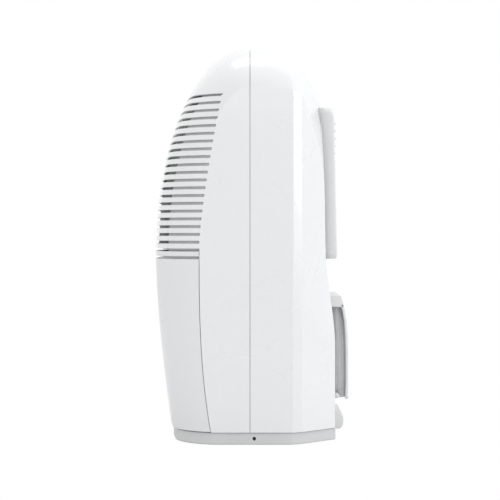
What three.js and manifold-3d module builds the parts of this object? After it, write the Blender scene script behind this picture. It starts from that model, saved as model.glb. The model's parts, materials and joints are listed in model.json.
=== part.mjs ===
// A free-standing compressor dehumidifier: two moulded shells on a base pan, a pull-out water
// tank under a louvred air outlet, a rear intake grille with a slide-up filter, and inside them
// the fan, the refrigeration circuit and the controls.
// Millimetres. +Z up, front towards -Y, floor at z = 0, origin under the middle of the object.
import * as THREE from "three";
import { mergeVertices } from "three/addons/utils/BufferGeometryUtils.js";
import Module from "manifold-3d";

const wasm = await Module();
wasm.setup();

// ---------------------------------------------------------------- driving sizes
const HEIGHT = 532; // floor to the crown
const WIDTH = 340; // across the flat sides
const FRONT_REACH = 129.5; // seam to the foremost point of the front
const REAR_REACH = 114; // seam to the lower back face
const SEAM_Y = -1.5; // plane where the two shells meet
const SEAM_GAP = 0.8;
const WALL = 3.2; // moulded wall of both shells
const BULGE_Z = 250; // height at which the front reaches furthest
const SHELL_BOTTOM = 19; // lower edge of both shells
const FIT_GAP = 0.4; // between pieces that touch

// shape of the outer skin
const CREASE_HALF = 118; // half-width of the crowned front and top band
const CREASE_START = THREE.MathUtils.degToRad(24); // slope at which the corner leaves that band
const FRONT_CROWN = 8; // how much the band bulges at the front
const TOP_CROWN = 16; // how much it bulges at the top
const CORNER_FRONT = 55.5; // depth of the front corner, from the band to the flat side
const CORNER_TOP = 50; // drop from the band's edge to the flat side
const FLAT_SIDE_POWER = 2.3; // squareness of the flat side's outline
const UNDERCUT = 21.5; // how far the front draws back at the foot
const CORNER_UNDERCUT = 15; // and the edge of the flat side
const UNDERCUT_POWER = 1.6; // how late that drawing back starts, in the middle
const CORNER_UNDERCUT_POWER = 2.7; // and at the edge of the flat side
const TAPER_Y = 60; // where the flat sides turn in towards the back
const BACK_HALF = 112; // half-width of the back face

// base and feet
const FOOT_H = 3;
const FOOT_R = 10;
const BASE_BOTTOM = FOOT_H;
const BASE_INSET = 3;
const BASE_TOP = SHELL_BOTTOM - FIT_GAP;
const DECK_TOP = SHELL_BOTTOM + 4; // raised deck inside the shells
const BASE_SCREW_R = 2.4;

// air outlet louvres
const SLOT_PITCH = 10.08;
const SLOT_H = 3.8;
const SLOTS = 20;
const TOP_SLOT_Z = 457.3;
const SLOT_END_LEAN = 30; // the top slot ends this far behind the tank's side edge
const SLOT_END_POWER = 1.4;

// tank
const TANK_TOP = TOP_SLOT_Z - SLOTS * SLOT_PITCH - SLOT_H / 2; // under the lowest gap
const TANK_GAP = 0.5; // half the parting gap down each side of the tank
const BAR_SLOT_Z = TANK_TOP - 6.3 - SLOT_H / 2; // groove under the tank's top bar
const BAR_GROOVE_DEPTH = 6.5;
const TANK_BACKING = 10; // thickness of the tank front behind that groove
const GRIP_HALF = 58;
const GRIP_TOP = BAR_SLOT_Z - SLOT_H / 2 - 3.5;
const GRIP_BOTTOM = 200;
const GRIP_DEPTH = 20;
const TUB_WALL = 2.4;
const TUB_TOP = 232;
const TUB_BOTTOM = DECK_TOP + 1.2;
const TUB_SIDE_CLEAR = 18.8; // from the shell's inside to the tub
const TUB_BACK_CLEAR = 7; // from the bulkhead to the tub
const TUB_FRONT = -100;
const BULKHEAD_SIDE_CLEAR = 6.8;
const BULKHEAD_T = 2.5;

// rear intake
const GRILLE_HALF = 100;
const GRILLE_BOTTOM = 243;
const GRILLE_TOP = 446;
const GRILLE_OUT = 115; // how far back the grille housing stands
const GRILLE_WALL = 2.4;
const INTAKE_HALF = 88;
const INTAKE_BOTTOM = 258;
const INTAKE_TOP = 432;
const FILTER_HALF = 86;
const FILTER_Y = 102.9;
const FILTER_T = 3;
const GRILLE_SLOTS = 14;
const GRILLE_SLOT_H = 5;

// cord tidy on the lower back
const TIDY_HALF = 80;
const TIDY_TOP = 193;
const TIDY_BOTTOM = 54;
const TIDY_OUT = 131;
const TIDY_NECK_INSET = 14;
const TIDY_FLANGE = 3.6;
const TIDY_HOOD = 15;
const HOOK_OUT = 124.5;
const HOOK_LOW = 13.8; // the hook hangs a little past the shell's foot
const CORD_EYE_R = 12;
const CORD_EYE_Y = 125.5;
const CORD_EYE_Z = 43.5;

// controls
const FASCIA_Y = -52; // where the control recess sits on the front slope
const FASCIA_HALF = 54;
const FASCIA_DEEP = 40; // its length down the slope
const FASCIA_RECESS = 9;
const FASCIA_FLOOR = 2.4; // moulded floor of the recess
const FASCIA_T = 3;
const DIAL_R = 16;
const DIAL_H = 6.5;
const SPINDLE_R = 3;
const BUTTON_R = 6;
const BUTTON_TRAVEL = 1.5;
const LAMP_R = 1.5;
const BUTTON_AT = [
  ["power_button", 36, 4],
  ["boost_button", -36, 4],
];
const LAMP_AT = [
  ["power_lamp", 36, -11],
  ["tank_full_lamp", -36, -11],
];

// machinery
const FAN_R = 84;
const FAN_Y = 8;
const SHROUD_T = 3;
const SHROUD_Y = 18;
const FAN_FLOOR_CLEAR = 15.5; // from the duct floor to the blade tips
const SHROUD_SIDE_CLEAR = 16.8;
const MOTOR_R = 34;
const COIL_SIDE_CLEAR = 54.8;
const COIL_BOTTOM = 268;
const COIL_TOP = 448;
const COIL_T = 22;
const TUBE_R = 4;
const COMPRESSOR_R = 45;
const COMPRESSOR_BACK_CLEAR = 6.3; // to the rear shell's inside
const COMPRESSOR_FRONT_CLEAR = 7.5; // to the bulkhead
const COMPRESSOR_H = 150;
const TRAY_BOTTOM = 244;
const TRAY_TOP = 262;

// ---------------------------------------------------------------- mesh and solid helpers
const HALF = WIDTH / 2;
const INNER_HALF = HALF - WALL;
const COMPRESSOR_Y = SEAM_Y + REAR_REACH - WALL - COMPRESSOR_BACK_CLEAR - COMPRESSOR_R;
const BULKHEAD_Y = COMPRESSOR_Y - COMPRESSOR_R - COMPRESSOR_FRONT_CLEAR - BULKHEAD_T;
const TUB_HALF = INNER_HALF - TUB_SIDE_CLEAR;
const TUB_BACK = BULKHEAD_Y - TUB_BACK_CLEAR;
const COIL_HALF = INNER_HALF - COIL_SIDE_CLEAR;
const DUCT_FLOOR_Z = TANK_TOP + 2.7;
const DUCT_FLOOR_T = 2;
const FAN_Z = DUCT_FLOOR_Z + DUCT_FLOOR_T + FAN_FLOOR_CLEAR + FAN_R;
const CREASE_Z = HEIGHT - TOP_CROWN;
const SIDE_TOP = CREASE_Z - CORNER_TOP;

function solidFromTriangles(corners) {
  const g = new THREE.BufferGeometry().setAttribute(
    "position",
    new THREE.Float32BufferAttribute(corners, 3),
  );
  const merged = mergeVertices(g, 1e-4);
  const kept = [];
  for (let i = 0; i < merged.index.count; i += 3) {
    const [a, b, c] = [0, 1, 2].map((k) => merged.index.getX(i + k));
    if (a !== b && b !== c && a !== c) kept.push(a, b, c);
  }
  const build = (tris) =>
    new wasm.Manifold(
      new wasm.Mesh({
        numProp: 3,
        vertProperties: merged.attributes.position.array,
        triVerts: new Uint32Array(tris),
      }),
    );
  const made = build(kept);
  if (made.volume() >= 0) return made;
  for (let i = 0; i < kept.length; i += 3) {
    [kept[i + 1], kept[i + 2]] = [kept[i + 2], kept[i + 1]];
  }
  return build(kept);
}

function solidOf(geometry) {
  const flat = geometry.index ? geometry.toNonIndexed() : geometry;
  return solidFromTriangles(Array.from(flat.attributes.position.array));
}

function geometryOf(solid) {
  const m = solid.getMesh();
  const v = new Float32Array(m.numVert * 3);
  for (let i = 0; i < m.numVert; i++) {
    v.set(m.vertProperties.subarray(i * m.numProp, i * m.numProp + 3), i * 3);
  }
  return new THREE.BufferGeometry()
    .setAttribute("position", new THREE.BufferAttribute(v, 3))
    .setIndex(new THREE.BufferAttribute(m.triVerts, 1));
}

const join = (...solids) => solids.reduce((a, b) => a.add(b));

function box(x0, x1, y0, y1, z0, z1) {
  const g = new THREE.BoxGeometry(x1 - x0, y1 - y0, z1 - z0);
  g.translate((x0 + x1) / 2, (y0 + y1) / 2, (z0 + z1) / 2);
  return solidOf(g);
}

// a cylinder (or cone) centred on a point, along x, y or z
function cylinder(r, h, axis, at, segments = 16, r2 = r) {
  const g = new THREE.CylinderGeometry(r2, r, h, segments);
  if (axis === "x") g.rotateZ(-Math.PI / 2);
  if (axis === "z") g.rotateX(Math.PI / 2);
  g.translate(...at);
  return solidOf(g);
}

const ring = (r, hole, h, axis, at, segments = 16) =>
  cylinder(r, h, axis, at, segments).subtract(cylinder(hole, h + 2, axis, at, segments));

function extruded(points, depth) {
  const shape = new THREE.Shape(points.map((p) => new THREE.Vector2(p[0], p[1])));
  return new THREE.ExtrudeGeometry(shape, { depth, bevelEnabled: false });
}

// outline [x, y] between two heights
function prismZ(points, z0, z1) {
  return solidOf(extruded(points, z1 - z0).translate(0, 0, z0));
}

// outline [y, z] between two x values
function prismX(points, x0, x1) {
  const g = extruded(points, x1 - x0);
  g.rotateX(Math.PI / 2).rotateZ(Math.PI / 2).translate(x0, 0, 0);
  return solidOf(g);
}

// profile [radius, z] turned about a vertical axis
function turned(profile, at, segments = 20) {
  const g = new THREE.LatheGeometry(
    profile.map((p) => new THREE.Vector2(p[0], p[1])),
    segments,
  );
  return solidOf(g.rotateX(Math.PI / 2).translate(...at));
}

// a round bar or pipe along a smooth curve
function pipe(points, r, steps, sides = 6) {
  const curve = new THREE.CatmullRomCurve3(
    points.map((p) => new THREE.Vector3(...p)),
    false,
    "catmullrom",
    0.3,
  );
  const section = new THREE.Shape(
    Array.from({ length: sides }, (_, i) => {
      const a = (2 * Math.PI * i) / sides;
      return new THREE.Vector2(r * Math.cos(a), r * Math.sin(a));
    }),
  );
  return solidOf(
    new THREE.ExtrudeGeometry(section, { steps, extrudePath: curve, bevelEnabled: false }),
  );
}

// a closed sheet between two grids of points [row][column]
function sheetSolid(outer, inner) {
  const corners = [];
  const quad = (a, b, c, d) => corners.push(...a, ...b, ...c, ...a, ...c, ...d);
  const rows = outer.length;
  const cols = outer[0].length;
  for (let r = 0; r < rows - 1; r++) {
    for (let c = 0; c < cols - 1; c++) {
      quad(outer[r][c], outer[r][c + 1], outer[r + 1][c + 1], outer[r + 1][c]);
      quad(inner[r][c], inner[r + 1][c], inner[r + 1][c + 1], inner[r][c + 1]);
    }
  }
  for (let r = 0; r < rows - 1; r++) {
    quad(outer[r][0], outer[r + 1][0], inner[r + 1][0], inner[r][0]);
    quad(outer[r][cols - 1], inner[r][cols - 1], inner[r + 1][cols - 1], outer[r + 1][cols - 1]);
  }
  for (let c = 0; c < cols - 1; c++) {
    quad(outer[0][c], inner[0][c], inner[0][c + 1], outer[0][c + 1]);
    quad(outer[rows - 1][c], outer[rows - 1][c + 1], inner[rows - 1][c + 1], inner[rows - 1][c]);
  }
  return solidFromTriangles(corners);
}

// ---------------------------------------------------------------- the outer skin
const mix = (a, b, t) => a + (b - a) * t;
const spread = (n, a, b) => Array.from({ length: n + 1 }, (_, i) => mix(a, b, i / n));

// Columns of the skin, from the centre line out: x, the share of the way from the crowned band's
// centre to its crease (crown), and from the crease to the flat side (corner).
const CROWN_STEPS = 2;
const CORNER_STEPS = 4;
const columns = [
  ...spread(CROWN_STEPS, 0, 1).map((q) => ({ x: CREASE_HALF * q, crown: q * q, corner: 0 })),
  ...spread(CORNER_STEPS, CREASE_START, Math.PI / 2)
    .slice(1)
    .map((a) => {
      const out = (Math.sin(a) - Math.sin(CREASE_START)) / (1 - Math.sin(CREASE_START));
      return {
        x: mix(CREASE_HALF, HALF, out),
        crown: 1,
        corner: 1 - Math.cos(a) / Math.cos(CREASE_START),
      };
    }),
];

// Front outline at a column: a quarter of a superellipse above the bulge, drawn back below it.
function frontOutline(column, inset) {
  const a = FRONT_REACH - FRONT_CROWN * column.crown - CORNER_FRONT * column.corner - inset;
  const b =
    HEIGHT - BULGE_Z - TOP_CROWN * column.crown - CORNER_TOP * column.corner - inset;
  return {
    a,
    b,
    power: mix(2, FLAT_SIDE_POWER, column.corner),
    undercut: mix(UNDERCUT, CORNER_UNDERCUT, column.corner),
    late: mix(UNDERCUT_POWER, CORNER_UNDERCUT_POWER, column.corner),
    x: (column.x * (HALF - inset)) / HALF,
  };
}

function frontY(outline, z, seam) {
  if (z <= BULGE_Z) {
    const share = (BULGE_Z - z) / (BULGE_Z - SHELL_BOTTOM);
    return seam - outline.a + outline.undercut * Math.pow(share, outline.late);
  }
  const up = Math.min(1, (z - BULGE_Z) / outline.b);
  return seam - outline.a * Math.pow(1 - Math.pow(up, outline.power), 1 / outline.power);
}

// One grid of the front skin between two heights; above the louvres the rows fan over the top.
const FAN_FROM = TOP_SLOT_Z + 4;
function frontGrid(heights, topRows, inset) {
  const seam = SEAM_Y - SEAM_GAP / 2;
  const outlines = columns.map((c) => frontOutline(c, inset));
  const half = heights.map((z) => {
    const row = outlines.map((o) => {
      const level = Math.min(z, BULGE_Z + o.b);
      return [o.x, frontY(o, level, seam), level];
    });
    const edge = row[row.length - 1];
    row.push([HALF - inset, seam, edge[2]]);
    return row;
  });
  for (let k = 1; k <= topRows; k++) {
    const row = outlines.map((o) => {
      const start = Math.min(1, (FAN_FROM - BULGE_Z) / o.b);
      const from = Math.asin(Math.pow(start, o.power / 2));
      const angle = mix(from, Math.PI / 2, k / topRows);
      return [
        o.x,
        seam - o.a * Math.pow(Math.max(0, Math.cos(angle)), 2 / o.power),
        BULGE_Z + o.b * Math.pow(Math.sin(angle), 2 / o.power),
      ];
    });
    const edge = row[row.length - 1];
    row.push([HALF - inset, seam, edge[2]]);
    half.push(row);
  }
  return mirrored(half);
}

const mirrored = (half) =>
  half.map((row) => [...row.slice(1).reverse().map(([x, y, z]) => [-x, y, z]), ...row]);

// Rear outlines [y, z] from the seam over the top and down the back: on the centre line, along
// the crease of the crowned band, and round the flat side.
const BACK_Y = SEAM_Y + REAR_REACH;
const rearStations = [
  [[SEAM_Y, HEIGHT], [SEAM_Y, CREASE_Z], [SEAM_Y, SIDE_TOP]],
  [[26, HEIGHT - 0.3], [25, CREASE_Z], [22, SIDE_TOP]],
  [[46, HEIGHT - 2], [44, CREASE_Z - 2], [42, SIDE_TOP - 1]],
  [[58.5, HEIGHT - 6], [56, CREASE_Z - 6.5], [56, SIDE_TOP - 3]],
  [[68, HEIGHT - 16], [65, CREASE_Z - 16], [67, SIDE_TOP - 10]],
  [[80, HEIGHT - 38.5], [77.5, CREASE_Z - 37], [76, SIDE_TOP - 31]],
  [[90, HEIGHT - 62], [88.5, CREASE_Z - 59], [85, SIDE_TOP - 59]],
  [[96, HEIGHT - 82], [95, CREASE_Z - 77], [92.5, SIDE_TOP - 84]],
  [[97.5, 410], [97, 404], [96.6, 354]],
  [[99, 340], [98.7, 330], [98.2, 300]],
  [[100.5, 245], [100.3, 243], [99.5, 240]],
  [[104, 208], [103.8, 208], [103, 208]],
  [[109.3, 170], [109.1, 170], [108.3, 170]],
  [[BACK_Y, 133], [BACK_Y - 0.2, 133], [BACK_Y - 1, 133]],
  [[BACK_Y, SHELL_BOTTOM], [BACK_Y - 0.2, SHELL_BOTTOM], [BACK_Y - 1, SHELL_BOTTOM]],
];
const SLOPE_END = 7; // the station where the slope becomes the upright back

// depth of the upright back at a height
function backY(z) {
  const line = rearStations.slice(SLOPE_END).map((s) => s[0]);
  if (z >= line[0][1]) return line[0][0];
  const i = line.findIndex((p) => p[1] <= z);
  if (i < 0) return BACK_Y;
  const [p, q] = [line[i - 1], line[i]];
  return mix(q[0], p[0], (z - q[1]) / (p[1] - q[1]));
}

// how much of the full width is left at a point of the back half
function taper(y, z, inset) {
  const share = Math.max(0, (y - TAPER_Y) / (backY(z) - inset - TAPER_Y));
  return 1 - Math.min(1, share) * (1 - BACK_HALF / HALF);
}

// stations moved inwards by the inset, at right angles to their outline
function insetLine(line, inset) {
  return line.map((p, i) => {
    const a = line[Math.max(0, i - 1)];
    const b = line[Math.min(line.length - 1, i + 1)];
    const [dy, dz] = [b[0] - a[0], b[1] - a[1]];
    const len = Math.hypot(dy, dz);
    const end = i === 0 || i === line.length - 1;
    return [
      p[0] + (i === 0 ? 0 : (dz / len) * inset),
      p[1] - (end && i > 0 ? 0 : (dy / len) * inset),
    ];
  });
}

function rearGrid(inset) {
  const seam = SEAM_Y + SEAM_GAP / 2;
  const lines = [0, 1, 2].map((k) => insetLine(rearStations.map((s) => s[k]), inset));
  const half = rearStations.map((_, r) => {
    const [p0, p1, p2] = lines.map((l) => l[r]);
    const row = columns.map((c) => {
      const y = mix(mix(p0[0], p1[0], c.crown), p2[0], c.corner);
      const z = mix(mix(p0[1], p1[1], c.crown), p2[1], c.corner);
      const at = Math.max(y, seam);
      return [((c.x * (HALF - inset)) / HALF) * taper(at, z, inset), at, z];
    });
    const edge = row[row.length - 1];
    const turn = edge[1] > TAPER_Y ? TAPER_Y : mix(edge[1], seam, 0.4);
    const fanned = r < 4 ? mix(lines[2][0][1], lines[2][4][1], r / 4) : edge[2];
    row.push([HALF - inset, turn, mix(edge[2], fanned, 0.4)]);
    row.push([HALF - inset, seam, fanned]);
    return row;
  });
  return mirrored(half);
}

// plan of the skin at its foot, moved inwards, as one loop of [x, y]
function footOutline(inset) {
  const seam = SEAM_Y;
  const side = columns.map((c) => {
    const o = frontOutline(c, inset);
    return [o.x, frontY(o, SHELL_BOTTOM, seam)];
  });
  const half = [
    ...side,
    [HALF - inset, TAPER_Y],
    [BACK_HALF - inset * 0.5, BACK_Y - inset],
  ];
  return [...half, ...half.slice(1).reverse().map(([x, y]) => [-x, y])];
}

const slotZ = (i) => TOP_SLOT_Z - i * SLOT_PITCH;
const silhouette = frontOutline(columns[0], 0);

// edge of the tank seen from the side, [y, z] from the foot up, and the slot ends above it
const sideEdge = frontOutline(columns[columns.length - 1], 0);
function slotEnd(z) {
  const lean = Math.max(0, (z - TANK_TOP) / (TOP_SLOT_Z - TANK_TOP));
  return frontY(sideEdge, TANK_TOP, SEAM_Y) + SLOT_END_LEAN * Math.pow(lean, SLOT_END_POWER);
}
const tankEdge = (shift, top) =>
  [...spread(6, SHELL_BOTTOM - 4, BULGE_Z), top].map((z) => [
    frontY(sideEdge, Math.max(z, SHELL_BOTTOM), SEAM_Y) + shift,
    z,
  ]);
const AHEAD = -200; // beyond the front of everything
const tankZone = (shift, top) =>
  prismX([...tankEdge(shift, top), [AHEAD, top], [AHEAD, SHELL_BOTTOM - 4]], -HALF - 9, HALF + 9);

// ---------------------------------------------------------------- materials and the scene graph
const plastic = (color, roughness = 0.35) =>
  new THREE.MeshStandardMaterial({ color, roughness, metalness: 0 });
const metal = (color, roughness = 0.35) =>
  new THREE.MeshStandardMaterial({ color, roughness, metalness: 1 });
const finish = {
  white: plastic(0xf2f3f4, 0.28),
  base: plastic(0xd2d3d4, 0.4),
  grey: plastic(0xd9dadb, 0.42),
  liner: plastic(0x9fa2a4, 0.6),
  dark: plastic(0x26282a, 0.6),
  black: plastic(0x101112, 0.55),
  clear: plastic(0xdfe8ec, 0.15),
  foam: plastic(0xf6f6f2, 0.9),
  rubber: plastic(0x2a2a2b, 0.85),
  copper: metal(0xc77b4a, 0.35),
  fins: metal(0xc9ccce, 0.4),
  steel: metal(0xb4b6b8, 0.4),
  board: plastic(0x1f6b3c, 0.5),
  lamp: plastic(0x6fc36b, 0.2),
};

const object = new THREE.Group();

function piece(name, solid, material, group = object) {
  const mesh = new THREE.Mesh(geometryOf(solid), material);
  mesh.name = name;
  group.add(mesh);
}

// ---------------------------------------------------------------- front shell
const LOW_ROWS = spread(4, SHELL_BOTTOM, BULGE_Z);
const HIGH_ROWS = spread(7, BULGE_Z, FAN_FROM).slice(1);
const TOP_ROWS = 5;
const frontRows = [...LOW_ROWS, ...HIGH_ROWS];
const frontSkin = (outerInset, innerInset) =>
  sheetSolid(
    frontGrid(frontRows, TOP_ROWS, outerInset),
    frontGrid(frontRows, TOP_ROWS, innerInset),
  );

// frame of the control recess: a point on the slope, and the slope's own axes
const fasciaZ = BULGE_Z + silhouette.b * Math.sqrt(1 - ((FASCIA_Y - SEAM_Y) / silhouette.a) ** 2);
const fasciaSlope = Math.atan2(
  silhouette.b ** 2 * (SEAM_Y - FASCIA_Y),
  silhouette.a ** 2 * (fasciaZ - BULGE_Z),
);
const onFascia = new THREE.Matrix4()
  .makeTranslation(0, FASCIA_Y, fasciaZ)
  .multiply(new THREE.Matrix4().makeRotationX(fasciaSlope));
const placed = (solid) => solidOf(geometryOf(solid).applyMatrix4(onFascia));

function roundedPlate(halfX, halfY, r, z0, z1) {
  const corner = (cx, cy, from) =>
    spread(3, from, from + Math.PI / 2).map((a) => [cx + r * Math.cos(a), cy + r * Math.sin(a)]);
  const outline = [
    ...corner(halfX - r, halfY - r, 0),
    ...corner(r - halfX, halfY - r, Math.PI / 2),
    ...corner(r - halfX, r - halfY, Math.PI),
    ...corner(halfX - r, r - halfY, 1.5 * Math.PI),
  ];
  return prismZ(outline, z0, z1);
}

const FASCIA_CORNER = 12;
const recess = placed(
  roundedPlate(FASCIA_HALF, FASCIA_DEEP / 2, FASCIA_CORNER, -FASCIA_RECESS, 20),
);
const through = (x, y, r, segments = 16) => cylinder(r, 30, "z", [x, y, -FASCIA_RECESS], segments);
const recessHoles = placed(
  join(
    through(0, 0, SPINDLE_R + 1),
    ...BUTTON_AT.map(([, x, y]) => through(x, y, BUTTON_R + 0.4)),
    ...LAMP_AT.map(([, x, y]) => through(x, y, LAMP_R + 0.3, 8)),
  ),
);
const recessBack = -FASCIA_RECESS - FASCIA_FLOOR;
const recessDish = placed(
  roundedPlate(FASCIA_HALF + 3, FASCIA_DEEP / 2 + 3, FASCIA_CORNER + 3, recessBack, -1),
);

const slotCutters = Array.from({ length: SLOTS }, (_, i) => {
  const z = slotZ(i);
  return box(-HALF - 5, HALF + 5, AHEAD, slotEnd(z), z - SLOT_H / 2, z + SLOT_H / 2);
});

const frontBody = frontSkin(0, WALL)
  .add(recessDish.intersect(frontSkin(0, FASCIA_RECESS + 10)))
  .subtract(recess)
  .subtract(recessHoles);
piece(
  "front_shell",
  [tankZone(TANK_GAP, TANK_TOP + SLOT_H), ...slotCutters].reduce(
    (body, cut) => body.subtract(cut),
    frontBody,
  ),
  finish.white,
);

// air duct cheeks behind the corner louvres
const CHEEK_INSET = WALL + 2.2;
const CHEEK_T = 2;
function cheekGrid(side, inset) {
  const seam = SEAM_Y - SEAM_GAP / 2;
  const heights = spread(7, TANK_TOP + 0.8, FAN_FROM);
  return heights.map((z) => {
    const strip = columns.slice(CROWN_STEPS + 1).map((c) => {
      const o = frontOutline(c, inset);
      return [side * o.x, frontY(o, z, seam), z];
    });
    const last = strip[strip.length - 1];
    const behind = Math.min(-12, Math.max(last[1] + 4, slotEnd(z) + 8));
    return [...strip.map(([x, y]) => [x, Math.min(y, behind), z]), [last[0], behind + 0.5, z]];
  });
}
for (const [name, side] of [["duct_cheek_left", 1], ["duct_cheek_right", -1]]) {
  piece(
    name,
    sheetSolid(cheekGrid(side, CHEEK_INSET), cheekGrid(side, CHEEK_INSET + CHEEK_T)),
    finish.liner,
  );
}

// ---------------------------------------------------------------- rear shell
const rearSkin = (outerInset, innerInset) => sheetSolid(rearGrid(outerInset), rearGrid(innerInset));
const GLAND_R = 7;
const GLAND_X = -96; // towards the left-hand side
const GLAND_Z = 78;
const SCREW_R = 3.5;
const REAR_SCREWS = [
  [-90, 222],
  [90, 222],
  [-98, 32],
  [98, 32],
];
let rearBody = rearSkin(0, WALL)
  .subtract(box(-INTAKE_HALF, INTAKE_HALF, 60, 130, INTAKE_BOTTOM, INTAKE_TOP))
  .subtract(cylinder(GLAND_R + 0.3, 40, "y", [GLAND_X, BACK_Y, GLAND_Z], 12));
for (const [x, z] of REAR_SCREWS) {
  rearBody = rearBody.subtract(cylinder(SCREW_R + 0.3, 60, "y", [x, BACK_Y, z], 8));
}
piece("rear_shell", rearBody, finish.white);

REAR_SCREWS.forEach(([x, z], i) => {
  const head = backY(z) - 1;
  piece(
    "rear_screw_" + (i + 1),
    join(
      cylinder(SCREW_R, 3, "y", [x, head - 1.5, z], 8),
      cylinder(1.6, 12, "y", [x, head - 8, z], 6),
    ),
    finish.steel,
  );
});
piece(
  "cord_gland",
  join(
    ring(GLAND_R + 3, 3.5, 2.5, "y", [GLAND_X, BACK_Y + FIT_GAP + 1.25, GLAND_Z], 16),
    ring(GLAND_R, 3.5, 10, "y", [GLAND_X, BACK_Y - 4, GLAND_Z], 12),
  ),
  finish.grey,
);

// ---------------------------------------------------------------- base pan and feet
const deckInset = WALL + 1.2;
const baseScrewY = 4;
const baseScrewZ = 10.8;
const FEET = [
  ["foot_front_left", 105, -72],
  ["foot_front_right", -105, -72],
  ["foot_rear_left", 88, 92],
  ["foot_rear_right", -88, 92],
];
let base = join(
  prismZ(footOutline(BASE_INSET), BASE_BOTTOM, BASE_TOP),
  prismZ(footOutline(deckInset), BASE_TOP - 1, DECK_TOP),
).subtract(prismZ(footOutline(BASE_INSET + 3), BASE_BOTTOM - 1, BASE_TOP - 3));
const footBossH = BASE_TOP - BASE_BOTTOM - 1;
const footBossZ = (BASE_TOP + BASE_BOTTOM - 1) / 2;
for (const [, x, y] of FEET) {
  base = base.add(cylinder(FOOT_R + 3, footBossH, "z", [x, y, footBossZ], 12));
}
for (const side of [-1, 1]) {
  base = base
    .add(cylinder(6, 12, "x", [side * (HALF - BASE_INSET - 7.5), baseScrewY, baseScrewZ], 10))
    .subtract(cylinder(BASE_SCREW_R + 0.3, 30, "x", [side * (HALF - 8), baseScrewY, baseScrewZ], 10));
  piece(
    side > 0 ? "base_screw_left" : "base_screw_right",
    cylinder(BASE_SCREW_R, 14, "x", [side * (HALF - BASE_INSET - 8.5), baseScrewY, baseScrewZ], 10),
    finish.black,
  );
}
for (const [, x, y] of FEET) {
  base = base.subtract(cylinder(FOOT_R + 0.3, 4, "z", [x, y, BASE_BOTTOM], 14));
}
piece("base_pan", base, finish.base);
for (const [name, x, y] of FEET) {
  const top = BASE_BOTTOM + 2 - 0.3;
  piece(name, cylinder(FOOT_R, top, "z", [x, y, top / 2], 14), finish.rubber);
}

// ---------------------------------------------------------------- water tank
const tankClear = 0.9; // between the tank's foot and the base's ledge
const tankRows = [SHELL_BOTTOM, ...LOW_ROWS.slice(1, -1), BULGE_Z, TANK_TOP + 10];
const tankSkin = (outerInset, innerInset) =>
  sheetSolid(frontGrid(tankRows, 0, outerInset), frontGrid(tankRows, 0, innerInset));
const tankBounds = tankZone(-TANK_GAP, TANK_TOP).intersect(
  box(-HALF, HALF, AHEAD, 0, SHELL_BOTTOM + tankClear, TANK_TOP),
);
const backingZone = box(-HALF, HALF, AHEAD, 0, BAR_SLOT_Z - 6, TANK_TOP);
const groove = tankSkin(-2, BAR_GROOVE_DEPTH).intersect(
  box(-HALF - 9, HALF + 9, AHEAD, 0, BAR_SLOT_Z - SLOT_H / 2, BAR_SLOT_Z + SLOT_H / 2),
);
const GRIP_WALL = 2.5;
const gripBack = SEAM_Y - FRONT_REACH + GRIP_DEPTH;
const gripCup = box(
  -GRIP_HALF - GRIP_WALL,
  GRIP_HALF + GRIP_WALL,
  AHEAD,
  gripBack + GRIP_WALL,
  GRIP_BOTTOM - GRIP_WALL,
  GRIP_TOP + GRIP_WALL,
).intersect(tankSkin(0, GRIP_DEPTH + 12));
const gripPocket = box(-GRIP_HALF, GRIP_HALF, AHEAD, gripBack, GRIP_BOTTOM, GRIP_TOP);
const tankFront = tankSkin(0, WALL)
  .add(tankSkin(0, TANK_BACKING).intersect(backingZone))
  .add(gripCup)
  .intersect(tankBounds)
  .subtract(groove)
  .subtract(gripPocket);
piece("tank_front", tankFront, finish.white);

// the tub behind it, with a rolled rim and two runners
const TUB_CORNER = 46;
const tubOutline = (inset) => {
  const cut = TUB_CORNER - inset * 0.6;
  const [x, y0, y1] = [TUB_HALF - inset, TUB_FRONT + inset, TUB_BACK - inset];
  return [
    [x - cut, y0],
    [x - cut * 0.38, y0 + cut * 0.32],
    [x, y0 + cut],
    [x, y1],
    [-x, y1],
    [-x, y0 + cut],
    [-x + cut * 0.38, y0 + cut * 0.32],
    [-x + cut, y0],
  ];
};
const RIM_H = 4;
let tub = join(
  prismZ(tubOutline(2), TUB_BOTTOM, TUB_TOP),
  prismZ(tubOutline(0), TUB_TOP - RIM_H, TUB_TOP),
).subtract(prismZ(tubOutline(2 + TUB_WALL), TUB_BOTTOM + TUB_WALL, TUB_TOP + 1));
const PIVOT_Z = TUB_TOP - 14;
const PIVOT_R = 3;
const HANDLE_Y = TUB_FRONT + TUB_CORNER + 2;
for (const side of [-1, 1]) {
  tub = tub.subtract(
    cylinder(PIVOT_R + 0.3, 20, "x", [side * (TUB_HALF - 3), HANDLE_Y, PIVOT_Z], 10),
  );
}
piece("tank_tub", tub, finish.clear);

// carrying bail folded back along the rim
const BAIL_X = TUB_HALF - 2 - TUB_WALL - 4;
const BAIL_T = 4;
const BAIL_W = 9;
const BAIL_REACH = TUB_BACK - 16 - HANDLE_Y; // from its pivots to the back of the grip bar
const bailPlate = (x0, x1, y0) =>
  box(x0, x1, y0, HANDLE_Y + BAIL_REACH, PIVOT_Z - BAIL_W / 2, PIVOT_Z + BAIL_W / 2);
const bail = join(
  bailPlate(BAIL_X - BAIL_T, BAIL_X, HANDLE_Y - 6),
  bailPlate(-BAIL_X, -BAIL_X + BAIL_T, HANDLE_Y - 6),
  bailPlate(-BAIL_X, BAIL_X, HANDLE_Y + BAIL_REACH - 10),
);
piece(
  "tank_handle",
  [-1, 1].reduce(
    (body, side) =>
      body.add(
        cylinder(PIVOT_R, 8.4, "x", [side * (BAIL_X + 3.4), HANDLE_Y, PIVOT_Z], 10),
      ),
    bail,
  ),
  finish.grey,
);

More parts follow.
